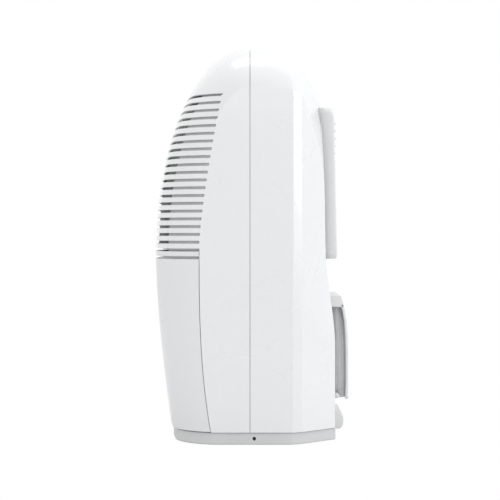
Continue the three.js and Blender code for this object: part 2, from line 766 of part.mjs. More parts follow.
// float in the front corner of the tub, on an arm hinged from a bracket on the rim
const FLOAT_X = 68 - TUB_HALF;
const FLOAT_PIVOT = [FLOAT_X, TUB_BACK - 16, TUB_TOP - 26];
const bracketBack = TUB_BACK - 2 - TUB_WALL - FIT_GAP;
const bracketPlate = (x0, x1, y0) =>
  box(FLOAT_X + x0, FLOAT_X + x1, y0, bracketBack, FLOAT_PIVOT[2] - 6, FLOAT_PIVOT[2] + 6);
piece(
  "float_bracket",
  join(
    bracketPlate(-12, -9, TUB_BACK - 20),
    bracketPlate(9, 12, TUB_BACK - 20),
    bracketPlate(-12, 12, bracketBack - 3.2),
  ).subtract(cylinder(2.1, 40, "x", FLOAT_PIVOT, 10)),
  finish.grey,
);
piece("float_pin", cylinder(1.8, 28, "x", FLOAT_PIVOT, 10), finish.steel);
const armDrop = [FLOAT_X, HANDLE_Y - 10, TUB_TOP - 62];
piece(
  "float_arm",
  join(
    prismX(
      [
        [FLOAT_PIVOT[1] + 4, FLOAT_PIVOT[2] + 4],
        [FLOAT_PIVOT[1] - 3, FLOAT_PIVOT[2] + 5],
        [armDrop[1] - 2, armDrop[2] + 6],
        [armDrop[1] + 2, armDrop[2]],
        [FLOAT_PIVOT[1] + 4, FLOAT_PIVOT[2] - 5],
      ],
      FLOAT_X - 3,
      FLOAT_X + 3,
    ).subtract(cylinder(2.1, 20, "x", FLOAT_PIVOT, 10)),
    box(
      FLOAT_X - 18,
      FLOAT_X + 18,
      armDrop[1] - 19,
      armDrop[1] + 9,
      armDrop[2] - 12,
      armDrop[2] + 6,
    ),
  ),
  finish.foam,
);

// ---------------------------------------------------------------- rear grille and filter
const rearEnvelope = rearSkin(-FIT_GAP, 30); // cuts what seats on the rear shell
const grilleOutline = (inset, backOff) => [
  [90, GRILLE_BOTTOM + inset],
  [GRILLE_OUT - backOff, GRILLE_BOTTOM + inset],
  [GRILLE_OUT - 0.7 - backOff, GRILLE_BOTTOM + 130],
  [GRILLE_OUT - 2.5 - backOff, GRILLE_TOP - 22],
  [GRILLE_OUT - 7 - backOff, GRILLE_TOP - inset],
  [90, GRILLE_TOP - inset],
];
let grille = prismX(grilleOutline(0, 0), -GRILLE_HALF, GRILLE_HALF)
  .subtract(
    prismX(
      grilleOutline(GRILLE_WALL, GRILLE_WALL),
      GRILLE_WALL - GRILLE_HALF,
      GRILLE_HALF - GRILLE_WALL,
    ),
  )
  .subtract(rearEnvelope);
const grillePitch = (GRILLE_TOP - GRILLE_BOTTOM - 24) / GRILLE_SLOTS;
for (let i = 0; i < GRILLE_SLOTS; i++) {
  const z = GRILLE_BOTTOM + 14 + grillePitch * (i + 0.25);
  for (const side of [-1, 1]) {
    const [a, b] = side > 0 ? [5, FILTER_HALF] : [-FILTER_HALF, -5];
    grille = grille.subtract(box(a, b, GRILLE_OUT - 8, GRILLE_OUT + 5, z, z + GRILLE_SLOT_H));
  }
}
const filterSlot = box(
  -FILTER_HALF - 0.6,
  FILTER_HALF + 0.6,
  FILTER_Y - FILTER_T / 2 - 0.5,
  FILTER_Y + FILTER_T / 2 + 0.5,
  GRILLE_TOP - 8,
  GRILLE_TOP + 5,
);
piece("rear_grille", grille.subtract(filterSlot), finish.grey);

const filterPlate = (halfX, z0, z1, t) =>
  box(-halfX, halfX, FILTER_Y - t / 2, FILTER_Y + t / 2, z0, z1);
const FILTER_BOTTOM = GRILLE_BOTTOM + GRILLE_WALL + 1;
const FILTER_TOP = GRILLE_TOP - 3;
const frameBorder = 7;
piece(
  "filter_frame",
  filterPlate(FILTER_HALF, FILTER_BOTTOM, FILTER_TOP, FILTER_T)
    .subtract(
      filterPlate(FILTER_HALF - frameBorder, FILTER_BOTTOM + frameBorder, FILTER_TOP - frameBorder, 20),
    )
    .add(filterPlate(2.5, FILTER_BOTTOM + 2, FILTER_TOP - 2, 1.2).translate([0, -0.9, 0]))
    .add(filterPlate(16, FILTER_TOP - 2, GRILLE_TOP + 2.5, FILTER_T)),
  finish.grey,
);
const meshBorder = frameBorder + 0.3;
piece(
  "filter_mesh",
  filterPlate(
    FILTER_HALF - meshBorder,
    FILTER_BOTTOM + meshBorder,
    FILTER_TOP - meshBorder,
    0.6,
  ).translate([0, 0.5, 0]),
  finish.dark,
);

// ---------------------------------------------------------------- cord tidy and lower hook
const eye = cylinder(CORD_EYE_R, 2 * TIDY_HALF + 40, "x", [0, CORD_EYE_Y, CORD_EYE_Z], 20);
const tidyBack = [
  [90, TIDY_TOP],
  [TIDY_OUT - 10, TIDY_TOP],
  [TIDY_OUT - 6, TIDY_TOP - 13],
  [TIDY_OUT - 2, TIDY_TOP - 34],
  [TIDY_OUT, TIDY_TOP - 78],
  [TIDY_OUT, TIDY_BOTTOM + 20],
  [TIDY_OUT - 1, TIDY_BOTTOM],
  [90, TIDY_BOTTOM],
];
const tidyFull = prismX([...tidyBack].reverse(), -TIDY_HALF, TIDY_HALF);
const sideGroove = (side) => {
  const inner = tidyBack.map(([y, z]) => [y > 100 ? y - TIDY_FLANGE : y, z]);
  const zone = prismX([...inner].reverse(), -TIDY_HALF - 1, TIDY_HALF + 1);
  const ends = [side * (TIDY_HALF - TIDY_NECK_INSET), side * (TIDY_HALF + 5)];
  const [x0, x1] = [Math.min(...ends), Math.max(...ends)];
  return zone.intersect(box(x0, x1, 80, 140, TIDY_BOTTOM - 5, TIDY_TOP - TIDY_HOOD));
};
const tidyHollow = prismX(
  [
    [90, TIDY_TOP - 6],
    [TIDY_OUT - 15, TIDY_TOP - 6],
    [TIDY_OUT - 8, TIDY_TOP - 30],
    [TIDY_OUT - 6, TIDY_BOTTOM + 16],
    [90, TIDY_BOTTOM + 16],
  ].reverse(),
  TIDY_NECK_INSET + 4 - TIDY_HALF,
  TIDY_HALF - TIDY_NECK_INSET - 4,
);
piece(
  "cord_tidy",
  tidyFull
    .subtract(sideGroove(1))
    .subtract(sideGroove(-1))
    .subtract(tidyHollow)
    .subtract(eye)
    .subtract(rearEnvelope),
  finish.grey,
);
piece(
  "cord_hook",
  prismX(
    [
      [100, HOOK_LOW],
      [HOOK_OUT - 6, HOOK_LOW],
      [HOOK_OUT - 2, HOOK_LOW + 3],
      [HOOK_OUT, HOOK_LOW + 8],
      [HOOK_OUT, 29],
      [HOOK_OUT - 1.5, 33],
      [HOOK_OUT - 12, 46],
      [100, 46],
    ],
    -TIDY_HALF,
    TIDY_HALF,
  )
    .subtract(eye)
    .subtract(rearEnvelope)
    .intersect(box(-TIDY_HALF, TIDY_HALF, BACK_Y, 140, HOOK_LOW, 60)),
  finish.grey,
);

// ---------------------------------------------------------------- controls
const plateBottom = -FASCIA_RECESS + FIT_GAP;
const plateTop = plateBottom + FASCIA_T;
piece(
  "control_fascia",
  placed(
    roundedPlate(
      FASCIA_HALF - FIT_GAP,
      FASCIA_DEEP / 2 - FIT_GAP,
      FASCIA_CORNER - FIT_GAP,
      plateBottom,
      plateTop,
    ),
  ).subtract(recessHoles),
  finish.grey,
);
for (const [name, x, y] of BUTTON_AT) {
  piece(
    name,
    placed(
      join(
        cylinder(BUTTON_R, 4.5, "z", [x, y, plateTop - 0.25], 16),
        cylinder(3, 8, "z", [x, y, recessBack], 8),
      ),
    ),
    finish.white,
  );
}
for (const [name, x, y] of LAMP_AT) {
  piece(name, placed(cylinder(LAMP_R, 6, "z", [x, y, plateTop - 2.8], 8)), finish.lamp);
}
const spindle = (r, z0, z1) => cylinder(r, z1 - z0, "z", [0, 0, (z0 + z1) / 2], 10);
const dialBottom = plateTop + 0.5;
piece(
  "humidity_dial",
  placed(
    cylinder(DIAL_R, DIAL_H, "z", [0, 0, dialBottom + DIAL_H / 2], 24, DIAL_R - 1.5)
      .subtract(spindle(SPINDLE_R + 0.3, dialBottom - 1, dialBottom + DIAL_H - 2))
      .subtract(box(-1, 1, 6, DIAL_R - 3, dialBottom + DIAL_H - 0.8, dialBottom + DIAL_H + 5)),
  ),
  finish.white,
);
const HUMIDISTAT_H = 16;
const humidistatTop = recessBack - 1.5;
piece(
  "dial_spindle",
  placed(spindle(SPINDLE_R, humidistatTop - 6, dialBottom + DIAL_H - 2.4)),
  finish.steel,
);
piece(
  "humidistat",
  placed(
    box(-17, 17, -13, 13, humidistatTop - HUMIDISTAT_H, humidistatTop).subtract(
      spindle(SPINDLE_R + 0.4, humidistatTop - 7, humidistatTop + 1),
    ),
  ),
  finish.liner,
);
// circuit board under the humidistat, with a push switch standing up to each button
const boardTop = humidistatTop - HUMIDISTAT_H - FIT_GAP;
piece(
  "control_board",
  placed(
    BUTTON_AT.reduce(
      (body, [, x, y]) =>
        body.add(box(x - 4, x + 4, y - 4, y + 4, boardTop - 1, recessBack - 4 - BUTTON_TRAVEL - 0.5)),
      box(-50, 50, -15, 15, boardTop - 1.6, boardTop),
    ),
  ),
  finish.board,
);

// ---------------------------------------------------------------- bulkhead, duct and fan
piece(
  "bulkhead",
  box(
    BULKHEAD_SIDE_CLEAR - INNER_HALF,
    INNER_HALF - BULKHEAD_SIDE_CLEAR,
    BULKHEAD_Y,
    BULKHEAD_Y + BULKHEAD_T,
    DECK_TOP + FIT_GAP,
    TRAY_BOTTOM - 4,
  ),
  finish.liner,
);
piece(
  "tank_switch",
  join(
    box(FLOAT_X - 9, FLOAT_X + 9, BULKHEAD_Y + BULKHEAD_T + 0.4, BULKHEAD_Y + 12, 184, 198),
    box(FLOAT_X - 5, FLOAT_X + 5, BULKHEAD_Y + 11, BULKHEAD_Y + 15, 187, 195),
  ),
  finish.dark,
);
const ductFloor = columns.map((c) => {
  const o = frontOutline(c, CHEEK_INSET + CHEEK_T + 1);
  return [o.x, frontY(o, DUCT_FLOOR_Z, SEAM_Y)];
});
ductFloor.push([ductFloor[ductFloor.length - 1][0], SHROUD_Y - 4]);
piece(
  "duct_floor",
  prismZ(
    [...ductFloor, ...ductFloor.slice(1).reverse().map(([x, y]) => [-x, y])],
    DUCT_FLOOR_Z,
    DUCT_FLOOR_Z + DUCT_FLOOR_T,
  ),
  finish.liner,
);
const FAN_HOLE = FAN_R + 3;
const SHROUD_HALF = INNER_HALF - SHROUD_SIDE_CLEAR;
const fanDisc = (r, y0, y1, segments = 28) =>
  cylinder(r, y1 - y0, "y", [0, (y0 + y1) / 2, FAN_Z], segments);
piece(
  "fan_shroud",
  solidOf(
    extruded(
      [
        [-SHROUD_HALF, DUCT_FLOOR_Z + 3],
        [SHROUD_HALF, DUCT_FLOOR_Z + 3],
        [SHROUD_HALF, FAN_Z + 72],
        [SHROUD_HALF - 38, FAN_Z + 104],
        [38 - SHROUD_HALF, FAN_Z + 104],
        [-SHROUD_HALF, FAN_Z + 72],
      ],
      SHROUD_T,
    )
      .rotateX(Math.PI / 2)
      .translate(0, SHROUD_Y + SHROUD_T, 0),
  )
    .add(fanDisc(FAN_HOLE + 2.4, 0, SHROUD_Y + 1))
    .subtract(fanDisc(FAN_HOLE, -5, 30)),
  finish.liner,
);
const hubAt = [0, FAN_Y, FAN_Z];
const BLADES = 5;
const blade = box(15, FAN_R + 5, -1.2, 1.2, -21, 21).rotate([30, 0, 0]);
let impeller = cylinder(20, 22, "y", [0, 0, 0], 18);
for (let i = 0; i < BLADES; i++) {
  impeller = impeller.add(blade.rotate([0, (360 * i) / BLADES, 0]));
}
impeller = impeller
  .intersect(cylinder(FAN_R, 60, "y", [0, 0, 0], 30))
  .subtract(cylinder(3.3, 60, "y", [0, 0, 0], 10));
piece("fan_impeller", impeller.translate(hubAt), finish.dark);
const MOTOR_FRONT = -62;
const MOTOR_BACK = -24;
piece("motor_shaft", cylinder(3, 48, "y", [0, MOTOR_BACK + 14, FAN_Z], 10), finish.steel);
const motorDisc = (r, y0, y1, n = 20) => cylinder(r, y1 - y0, "y", [0, (y0 + y1) / 2, FAN_Z], n);
piece(
  "fan_motor",
  join(
    motorDisc(MOTOR_R, MOTOR_FRONT + 8, MOTOR_BACK - 6),
    motorDisc(MOTOR_R - 10, MOTOR_FRONT, MOTOR_BACK),
  ).subtract(motorDisc(3.4, MOTOR_BACK - 12, MOTOR_BACK + 1, 10)),
  finish.steel,
);
const BRACKET_Y = -43;
let bracket = motorDisc(MOTOR_R + 4, BRACKET_Y - 5, BRACKET_Y + 5);
for (let i = 0; i < 4; i++) {
  const arm = join(
    box(MOTOR_R + 1, FAN_HOLE + 11, BRACKET_Y - 2, BRACKET_Y + 2, -5, 5),
    box(FAN_HOLE + 6, FAN_HOLE + 11, BRACKET_Y - 2, SHROUD_Y - FIT_GAP, -5, 5),
  );
  bracket = bracket.add(arm.rotate([0, 45 + 90 * i, 0]).translate([0, 0, FAN_Z]));
}
piece(
  "motor_bracket",
  bracket.subtract(motorDisc(MOTOR_R + FIT_GAP, BRACKET_Y - 9, BRACKET_Y + 9)),
  finish.steel,
);

// ---------------------------------------------------------------- coils
const PASSES = 6;
const PASS_PITCH = 30;
const CONDENSER_Y = 41;
const EVAPORATOR_Y = 69;
const passZ = (i) => COIL_TOP - 15 - i * PASS_PITCH;
const COIL_END = COIL_HALF + 12;
function uBend(side, y, z) {
  const bend = spread(6, 0, Math.PI).map((a) => [
    side * (COIL_HALF + 4 + (PASS_PITCH / 2) * Math.sin(a)),
    y,
    z + (PASS_PITCH / 2) * Math.cos(a),
  ]);
  const legs = [bend[0], bend[6]].map((p) => [side * COIL_HALF, y, p[2]]);
  return pipe([legs[0], ...bend, legs[1]], TUBE_R - 0.4, 8, 6);
}
const FIN_PITCH = 13;
for (const [name, y, open] of [["condenser", CONDENSER_Y, -1], ["evaporator", EVAPORATOR_Y, 1]]) {
  const passes = [];
  let fins = box(-COIL_HALF, COIL_HALF, y - COIL_T / 2, y + COIL_T / 2, COIL_BOTTOM, COIL_TOP);
  for (let i = 0; i < PASSES; i++) {
    const ends = i === 0 || i === PASSES - 1 ? COIL_END : COIL_HALF + 4.5;
    const middle = (ends - COIL_HALF - 4.5) / 2;
    passes.push(cylinder(TUBE_R, COIL_HALF + 4.5 + ends, "x", [middle, y, passZ(i)], 6));
    if (i > 0) passes.push(uBend(i % 2 ? -1 : 1, y, passZ(i) + PASS_PITCH / 2));
    fins = fins.subtract(cylinder(TUBE_R + 0.35, 2 * COIL_HALF + 9, "x", [0, y, passZ(i)], 8));
  }
  const face = y + (open * COIL_T) / 2;
  for (let x = -COIL_HALF + FIN_PITCH; x < COIL_HALF - 1; x += FIN_PITCH) {
    fins = fins.subtract(box(x - 2.5, x + 2.5, face - 5, face + 5, COIL_BOTTOM - 1, COIL_TOP + 1));
  }
  piece(name + "_fins", fins, finish.fins);
  piece(name + "_tube", join(...passes), finish.copper);
}

// tray under the coils, with a spout over the bulkhead into the tub
const TRAY_HALF = COIL_HALF + 4;
const SPOUT_END = TUB_BACK - 12;
piece(
  "drip_tray",
  join(
    box(-TRAY_HALF, TRAY_HALF, 27, 91, TRAY_BOTTOM, TRAY_TOP),
    box(-9, 9, SPOUT_END, 30, TRAY_BOTTOM, TRAY_BOTTOM + 10),
  )
    .subtract(box(-TRAY_HALF + 2.4, TRAY_HALF - 2.4, 29.4, 88.6, TRAY_BOTTOM + 2.4, TRAY_TOP + 1))
    .subtract(box(-6.6, 6.6, SPOUT_END + 2.4, 33, TRAY_BOTTOM + 2.4, TRAY_BOTTOM + 11))
    .subtract(cylinder(3.5, 8, "z", [0, SPOUT_END + 6, TRAY_BOTTOM], 10)),
  finish.liner,
);

// ---------------------------------------------------------------- compressor circuit
const SHELL_Z = DECK_TOP + 5;
const PLATE_Z = DECK_TOP + 11;
const shellTop = SHELL_Z + COMPRESSOR_H;
const atCompressor = [0, COMPRESSOR_Y, 0];
const GROMMET_X = COMPRESSOR_R + 4;
const GROMMET_Y = 27;
const GROMMETS = [
  [-GROMMET_X, COMPRESSOR_Y - GROMMET_Y],
  [GROMMET_X, COMPRESSOR_Y - GROMMET_Y],
  [-GROMMET_X, COMPRESSOR_Y + GROMMET_Y],
  [GROMMET_X, COMPRESSOR_Y + GROMMET_Y],
];
const mountPlate = box(
  -GROMMET_X - 10,
  GROMMET_X + 10,
  COMPRESSOR_Y - GROMMET_Y - 10,
  COMPRESSOR_Y + GROMMET_Y + 10,
  PLATE_Z,
  PLATE_Z + 3,
);
piece(
  "compressor",
  turned(
    [
      [0, SHELL_Z],
      [COMPRESSOR_R - 8, SHELL_Z],
      [COMPRESSOR_R, SHELL_Z + 8],
      [COMPRESSOR_R, shellTop - 18],
      [COMPRESSOR_R - 6, shellTop - 8],
      [COMPRESSOR_R - 22, shellTop - 1],
      [0, shellTop],
    ],
    atCompressor,
    24,
  ).add(mountPlate),
  finish.black,
);
GROMMETS.forEach(([x, y], i) => {
  const top = PLATE_Z - FIT_GAP;
  piece(
    "compressor_grommet_" + (i + 1),
    cylinder(8, top - DECK_TOP - FIT_GAP, "z", [x, y, (top + DECK_TOP + FIT_GAP) / 2], 12),
    finish.rubber,
  );
});
piece(
  "compressor_cap",
  box(
    -COMPRESSOR_R - 17,
    15 - COMPRESSOR_R,
    COMPRESSOR_Y - 16,
    COMPRESSOR_Y + 16,
    100,
    140,
  ).subtract(
    cylinder(COMPRESSOR_R + FIT_GAP, 60, "z", [0, COMPRESSOR_Y, 120], 24),
  ),
  finish.dark,
);
const bottomPass = passZ(PASSES - 1);
const stubEnd = COIL_END + FIT_GAP;
const pipeStart = shellTop + 0.6;
piece(
  "discharge_pipe",
  pipe(
    [
      [18, COMPRESSOR_Y, pipeStart],
      [22, COMPRESSOR_Y, pipeStart + 18],
      [COIL_END - 54, 56, 218],
      [COIL_END + 4, 56, 232],
      [COIL_END + 8, 56, 260],
      [COIL_END + 8, 56, 400],
      [COIL_END + 14, 52, 426],
      [COIL_END + 13, CONDENSER_Y + 3, passZ(0)],
      [stubEnd + 5, CONDENSER_Y, passZ(0)],
      [stubEnd, CONDENSER_Y, passZ(0)],
    ],
    3,
    34,
  ),
  finish.copper,
);
piece(
  "suction_pipe",
  pipe(
    [
      [-18, COMPRESSOR_Y, pipeStart],
      [-16, COMPRESSOR_Y + 3, pipeStart + 14],
      [30, 70, 205],
      [COIL_END - 6, 72, 222],
      [COIL_END + 13, EVAPORATOR_Y, 245],
      [COIL_END + 14, EVAPORATOR_Y, bottomPass - 8],
      [stubEnd + 5, EVAPORATOR_Y, bottomPass],
      [stubEnd, EVAPORATOR_Y, bottomPass],
    ],
    3.6,
    28,
  ),
  finish.copper,
);
const DRIER_X = COIL_END + 20;
const DRIER_Y = 36;
piece(
  "filter_drier",
  turned(
    [
      [0, 190],
      [2.5, 190],
      [8, 199],
      [8, 239],
      [2.5, 248],
      [0, 248],
    ],
    [DRIER_X, DRIER_Y, 0],
    12,
  ).add(
    pipe(
      [
        [DRIER_X, DRIER_Y, 244],
        [DRIER_X, DRIER_Y, 268],
        [DRIER_X - 4, CONDENSER_Y - 1, bottomPass - 1],
        [stubEnd + 4, CONDENSER_Y, bottomPass],
        [stubEnd, CONDENSER_Y, bottomPass],
      ],
      2.4,
      12,
    ),
  ),
  finish.copper,
);
piece(
  "capillary_tube",
  pipe(
    [
      [DRIER_X, DRIER_Y, 189.4],
      [DRIER_X + 2, DRIER_Y + 2, 176],
      [DRIER_X + 8, DRIER_Y + 12, 176],
      [DRIER_X + 8, DRIER_Y + 18, 200],
      [DRIER_X + 3, DRIER_Y + 27, 300],
      [DRIER_X, EVAPORATOR_Y - 4, 410],
      [DRIER_X - 4, EVAPORATOR_Y, passZ(0) - 2],
      [stubEnd + 4, EVAPORATOR_Y, passZ(0)],
      [stubEnd, EVAPORATOR_Y, passZ(0)],
    ],
    1.5,
    30,
    5,
  ),
  finish.copper,
);
piece(
  "run_capacitor",
  cylinder(17, 70, "z", [-INNER_HALF + 48.8, BULKHEAD_Y + 31, 155], 16),
  finish.fins,
);

export default object;
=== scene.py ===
import json
import math

import bmesh
import bpy
from mathutils import Matrix, Vector
from mathutils.bvhtree import BVHTree

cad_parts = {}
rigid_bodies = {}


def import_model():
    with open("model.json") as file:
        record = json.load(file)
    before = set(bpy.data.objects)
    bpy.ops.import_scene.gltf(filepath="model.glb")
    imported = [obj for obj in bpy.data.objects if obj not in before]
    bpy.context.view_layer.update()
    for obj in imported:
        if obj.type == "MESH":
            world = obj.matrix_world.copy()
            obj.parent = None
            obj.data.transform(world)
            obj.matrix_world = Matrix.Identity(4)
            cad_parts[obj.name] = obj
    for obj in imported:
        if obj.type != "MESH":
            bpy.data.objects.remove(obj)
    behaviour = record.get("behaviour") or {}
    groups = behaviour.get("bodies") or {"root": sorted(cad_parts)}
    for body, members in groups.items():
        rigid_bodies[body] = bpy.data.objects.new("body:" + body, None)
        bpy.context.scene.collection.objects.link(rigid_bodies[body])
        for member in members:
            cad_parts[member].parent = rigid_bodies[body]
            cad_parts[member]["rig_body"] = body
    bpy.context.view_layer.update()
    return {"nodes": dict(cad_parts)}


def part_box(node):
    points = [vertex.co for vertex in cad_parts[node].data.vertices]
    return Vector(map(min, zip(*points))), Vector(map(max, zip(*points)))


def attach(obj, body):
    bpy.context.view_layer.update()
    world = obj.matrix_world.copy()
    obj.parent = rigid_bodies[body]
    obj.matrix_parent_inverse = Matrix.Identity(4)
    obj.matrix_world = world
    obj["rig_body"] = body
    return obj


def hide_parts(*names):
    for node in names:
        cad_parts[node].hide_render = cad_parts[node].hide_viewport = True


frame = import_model()

# ------------------------------------------------------------------ camera, floor and light
# A long lens level with the middle of the right-hand side, a seamless white floor, an even white
# room, and soft lamps above, in front of and behind the machine that pick out its slopes.
def linked(name, data):
    """A new object in the scene, made from its data."""
    made = bpy.data.objects.new(name, data)
    bpy.context.collection.objects.link(made)
    return made


camera_data = bpy.data.cameras.new("camera")
camera_data.lens = 124.0
camera_data.sensor_width = 36.0
camera_data.shift_y = -0.036
camera_data.clip_end = 60.0
camera = linked("camera", camera_data)
camera.location = (2.4, -0.0015, 0.279)
camera.rotation_euler = (math.pi / 2, 0.0, math.pi / 2)
bpy.context.scene.camera = camera
bpy.context.scene.view_settings.view_transform = "Standard"


def principled(name, color, roughness, **sockets):
    """A new material: (itself, its nodes, its links, its shader), with the plain values set."""
    material = bpy.data.materials.new(name)
    material.use_nodes = True
    shader = material.node_tree.nodes["Principled BSDF"]
    shader.inputs["Base Color"].default_value = (*color, 1.0)
    shader.inputs["Roughness"].default_value = roughness
    for socket, value in sockets.items():
        shader.inputs[socket.replace("_", " ")].default_value = value
    return material, material.node_tree.nodes, material.node_tree.links, shader


floor_mesh = bpy.data.meshes.new("floor")
floor_mesh.from_pydata(
    [(-20, -20, 0), (20, -20, 0), (20, 20, 0), (-20, 20, 0)], [], [(0, 1, 2, 3)]
)
floor = linked("floor", floor_mesh)
white_floor, nodes, links, shader = principled("white floor", (0.77, 0.77, 0.77), 0.7)
glow = nodes.new("ShaderNodeEmission")
glow.inputs["Color"].default_value = (1.0, 1.0, 1.0, 1.0)
seen = nodes.new("ShaderNodeMixShader")
links.new(nodes.new("ShaderNodeLightPath").outputs["Is Camera Ray"], seen.inputs["Fac"])
links.new(shader.outputs["BSDF"], seen.inputs[1])
links.new(glow.outputs["Emission"], seen.inputs[2])
links.new(seen.outputs["Shader"], nodes["Material Output"].inputs["Surface"])
floor_mesh.materials.append(white_floor)

world = bpy.data.worlds.new("studio")
bpy.context.scene.world = world
world.use_nodes = True
world.node_tree.nodes["Background"].inputs["Color"].default_value = (1.0, 1.0, 1.0, 1.0)
world.node_tree.nodes["Background"].inputs["Strength"].default_value = 1.0

for name, place, aim, wide, tall, power in (
    ("shoulder softbox", (-0.7, 0.0, 2.5), (0.0, 0.0, 0.45), 1.6, 1.0, 9.5),
    ("side fill", (2.8, 0.4, 1.3), (0.0, 0.0, 0.30), 1.4, 1.4, 6.0),
    ("front softbox", (0.7, -2.2, 1.2), (0.0, 0.0, 0.30), 1.2, 1.4, 0.1),
    ("rear overhead", (-0.1, 1.3, 2.5), (0.0, 0.05, 0.45), 1.2, 1.2, 8.0),
    ("slope panel", (-0.5, 2.06, 1.17), (0.10, 0.08, 0.43), 1.0, 0.8, 4.5),
    ("edge strip", (0.57, 1.81, 0.50), (0.165, 0.06, 0.40), 0.14, 0.60, 2.4),
):
    lamp = bpy.data.lights.new(name, "AREA")
    lamp.shape = "RECTANGLE"
    lamp.size = wide
    lamp.size_y = tall
    lamp.energy = power
    lamp_object = linked(name, lamp)
    lamp_object.location = place
    lamp_object.rotation_euler = (Vector(place) - Vector(aim)).to_track_quat("Z", "Y").to_euler()


# ------------------------------------------------------------------ front shell
# The white moulded front half: crowned front and top, a crease at each side of that crown,
# rounded corners and flat sides, with a band of twenty level louvre slots wrapped round it.
# Injection moulded glossy ABS, screwed to the rear shell from behind.
surface = bpy.data.node_groups.new("worked surface", "ShaderNodeTree")
for label, kind, value in (
    ("Color", "Color", (0.8, 0.8, 0.8, 1.0)),
    ("Second Color", "Color", (0.7, 0.7, 0.7, 1.0)),
    ("Blotch Amount", "Float", 0.3),
    ("Blotch Size", "Float", 9.0),
    ("Grain Size", "Float", 1800.0),
    ("Rough Low", "Float", 0.25),
    ("Rough High", "Float", 0.4),
    ("Edge Wear", "Float", 0.2),
):
    socket = surface.interface.new_socket(label, in_out="INPUT", socket_type="NodeSocket" + kind)
    socket.default_value = value
for label, kind in (("Color", "Color"), ("Roughness", "Float"), ("Grain", "Float")):
    surface.interface.new_socket(label, in_out="OUTPUT", socket_type="NodeSocket" + kind)


def add(tree, kind, **sockets):
    """A node of a tree, with each named socket given a value or joined to another's output."""
    made = tree.nodes.new(kind)
    for label, value in sockets.items():
        socket = made.inputs[label.replace("_", " ")]
        if isinstance(value, bpy.types.NodeSocket):
            tree.links.new(value, socket)
        else:
            socket.default_value = value
    return made


def computed(tree, operation, *values):
    """The result of a sum on other nodes' outputs."""
    made = tree.nodes.new("ShaderNodeMath")
    made.operation = operation
    for i, value in enumerate(values):
        tree.links.new(value, made.inputs[i])
    return made.outputs[0]


given = surface.nodes.new("NodeGroupInput").outputs
place = surface.nodes.new("ShaderNodeTexCoord").outputs["Object"]
blotch = add(surface, "ShaderNodeTexNoise", Vector=place, Scale=given["Blotch Size"], Detail=4.0)
grain = add(surface, "ShaderNodeTexNoise", Vector=place, Scale=given["Grain Size"], Detail=3.0)
patch = add(surface, "ShaderNodeMapRange", Value=blotch.outputs["Fac"], From_Min=0.2, From_Max=0.8)
share = computed(surface, "MULTIPLY", patch.outputs["Result"], given["Blotch Amount"])
toned = add(
    surface, "ShaderNodeMixRGB", Fac=share, Color1=given["Color"], Color2=given["Second Color"]
)
sharpness = surface.nodes.new("ShaderNodeNewGeometry").outputs["Pointiness"]
edge = add(surface, "ShaderNodeMapRange", Value=sharpness, From_Min=0.53, From_Max=0.6)
worn = computed(surface, "MULTIPLY", edge.outputs["Result"], given["Edge Wear"])
rubbed = add(
    surface, "ShaderNodeMixRGB", Fac=worn, Color1=toned.outputs["Color"],
    Color2=(0.9, 0.9, 0.9, 1.0),
)
sheen = add(
    surface, "ShaderNodeMapRange", Value=blotch.outputs["Fac"], From_Min=0.2, From_Max=0.8,
    To_Min=given["Rough Low"], To_Max=given["Rough High"],
)
add(
    surface, "NodeGroupOutput", Color=rubbed.outputs["Color"],
    Roughness=sheen.outputs["Result"], Grain=grain.outputs["Fac"],
)


def worked_over(nodes, links, shader, values, strength, depth):
    """Puts the shared surface's roughness and grain on a shader, and returns its node."""
    worked = nodes.new("ShaderNodeGroup")
    worked.node_tree = surface
    for label, value in values.items():
        worked.inputs[label].default_value = value
    bump = nodes.new("ShaderNodeBump")
    bump.inputs["Strength"].default_value = strength
    bump.inputs["Distance"].default_value = depth
    links.new(worked.outputs["Grain"], bump.inputs["Height"])
    links.new(bump.outputs["Normal"], shader.inputs["Normal"])
    links.new(worked.outputs["Roughness"], shader.inputs["Roughness"])
    return worked


def finish(name, color, second, rough, grain, depth, blotch=0.3, wear=0.1, **sockets):
    """A material on the shared surface: two tones, a range of roughness and a fine grain."""
    material, nodes, links, shader = principled(name, color, rough[0], **sockets)
    worked = worked_over(nodes, links, shader, {
        "Color": (*color, 1.0),
        "Second Color": (*second, 1.0),
        "Blotch Amount": blotch,
        "Grain Size": grain,
        "Rough Low": rough[0],
        "Rough High": rough[1],
        "Edge Wear": wear,
    }, 0.3, depth)
    links.new(worked.outputs["Color"], shader.inputs["Base Color"])
    return material


white_plastic = finish(
    "white plastic", (0.745, 0.755, 0.765), (0.737, 0.747, 0.755), (0.26, 0.30), 2400.0, 0.00004,
    blotch=0.1, Coat_Weight=0.6, Coat_Roughness=0.07,
)

half_width = 0.170
height = 0.532
seam_y = -0.0015
seam_half = 0.0004
front_edge = seam_y - seam_half
front_reach = 0.1295
shell_foot = 0.019
bulge_z = 0.250
front_rise = height - bulge_z
band_half = 0.118
band_edge = math.radians(24)
corner_end = math.radians(77)
wall = 0.0022
louvre_top = 0.4573
louvre_pitch = 0.01008
louvre_gap = 0.0038
louvre_count = 20
tank_top = louvre_top - louvre_count * louvre_pitch - louvre_gap / 2
slots_end = louvre_top + 0.004
tank_part = 0.0005


def mix(a, b, t):
    """The value a share t of the way from a to b."""
    return a + (b - a) * t


def weights(u, last=corner_end):
    """Column u, from the centre line (0) past crease (1) and corner (2): x, crown, corner."""
    if u <= 1:
        return band_half * u, u * u, 0.0
    angle = mix(band_edge, last, min(1.0, u - 1))
    out = (math.sin(angle) - math.sin(band_edge)) / (math.sin(last) - math.sin(band_edge))
    corner = (math.cos(band_edge) - math.cos(angle)) / (math.cos(band_edge) - math.cos(last))
    return mix(band_half, half_width, out), 1.0, corner


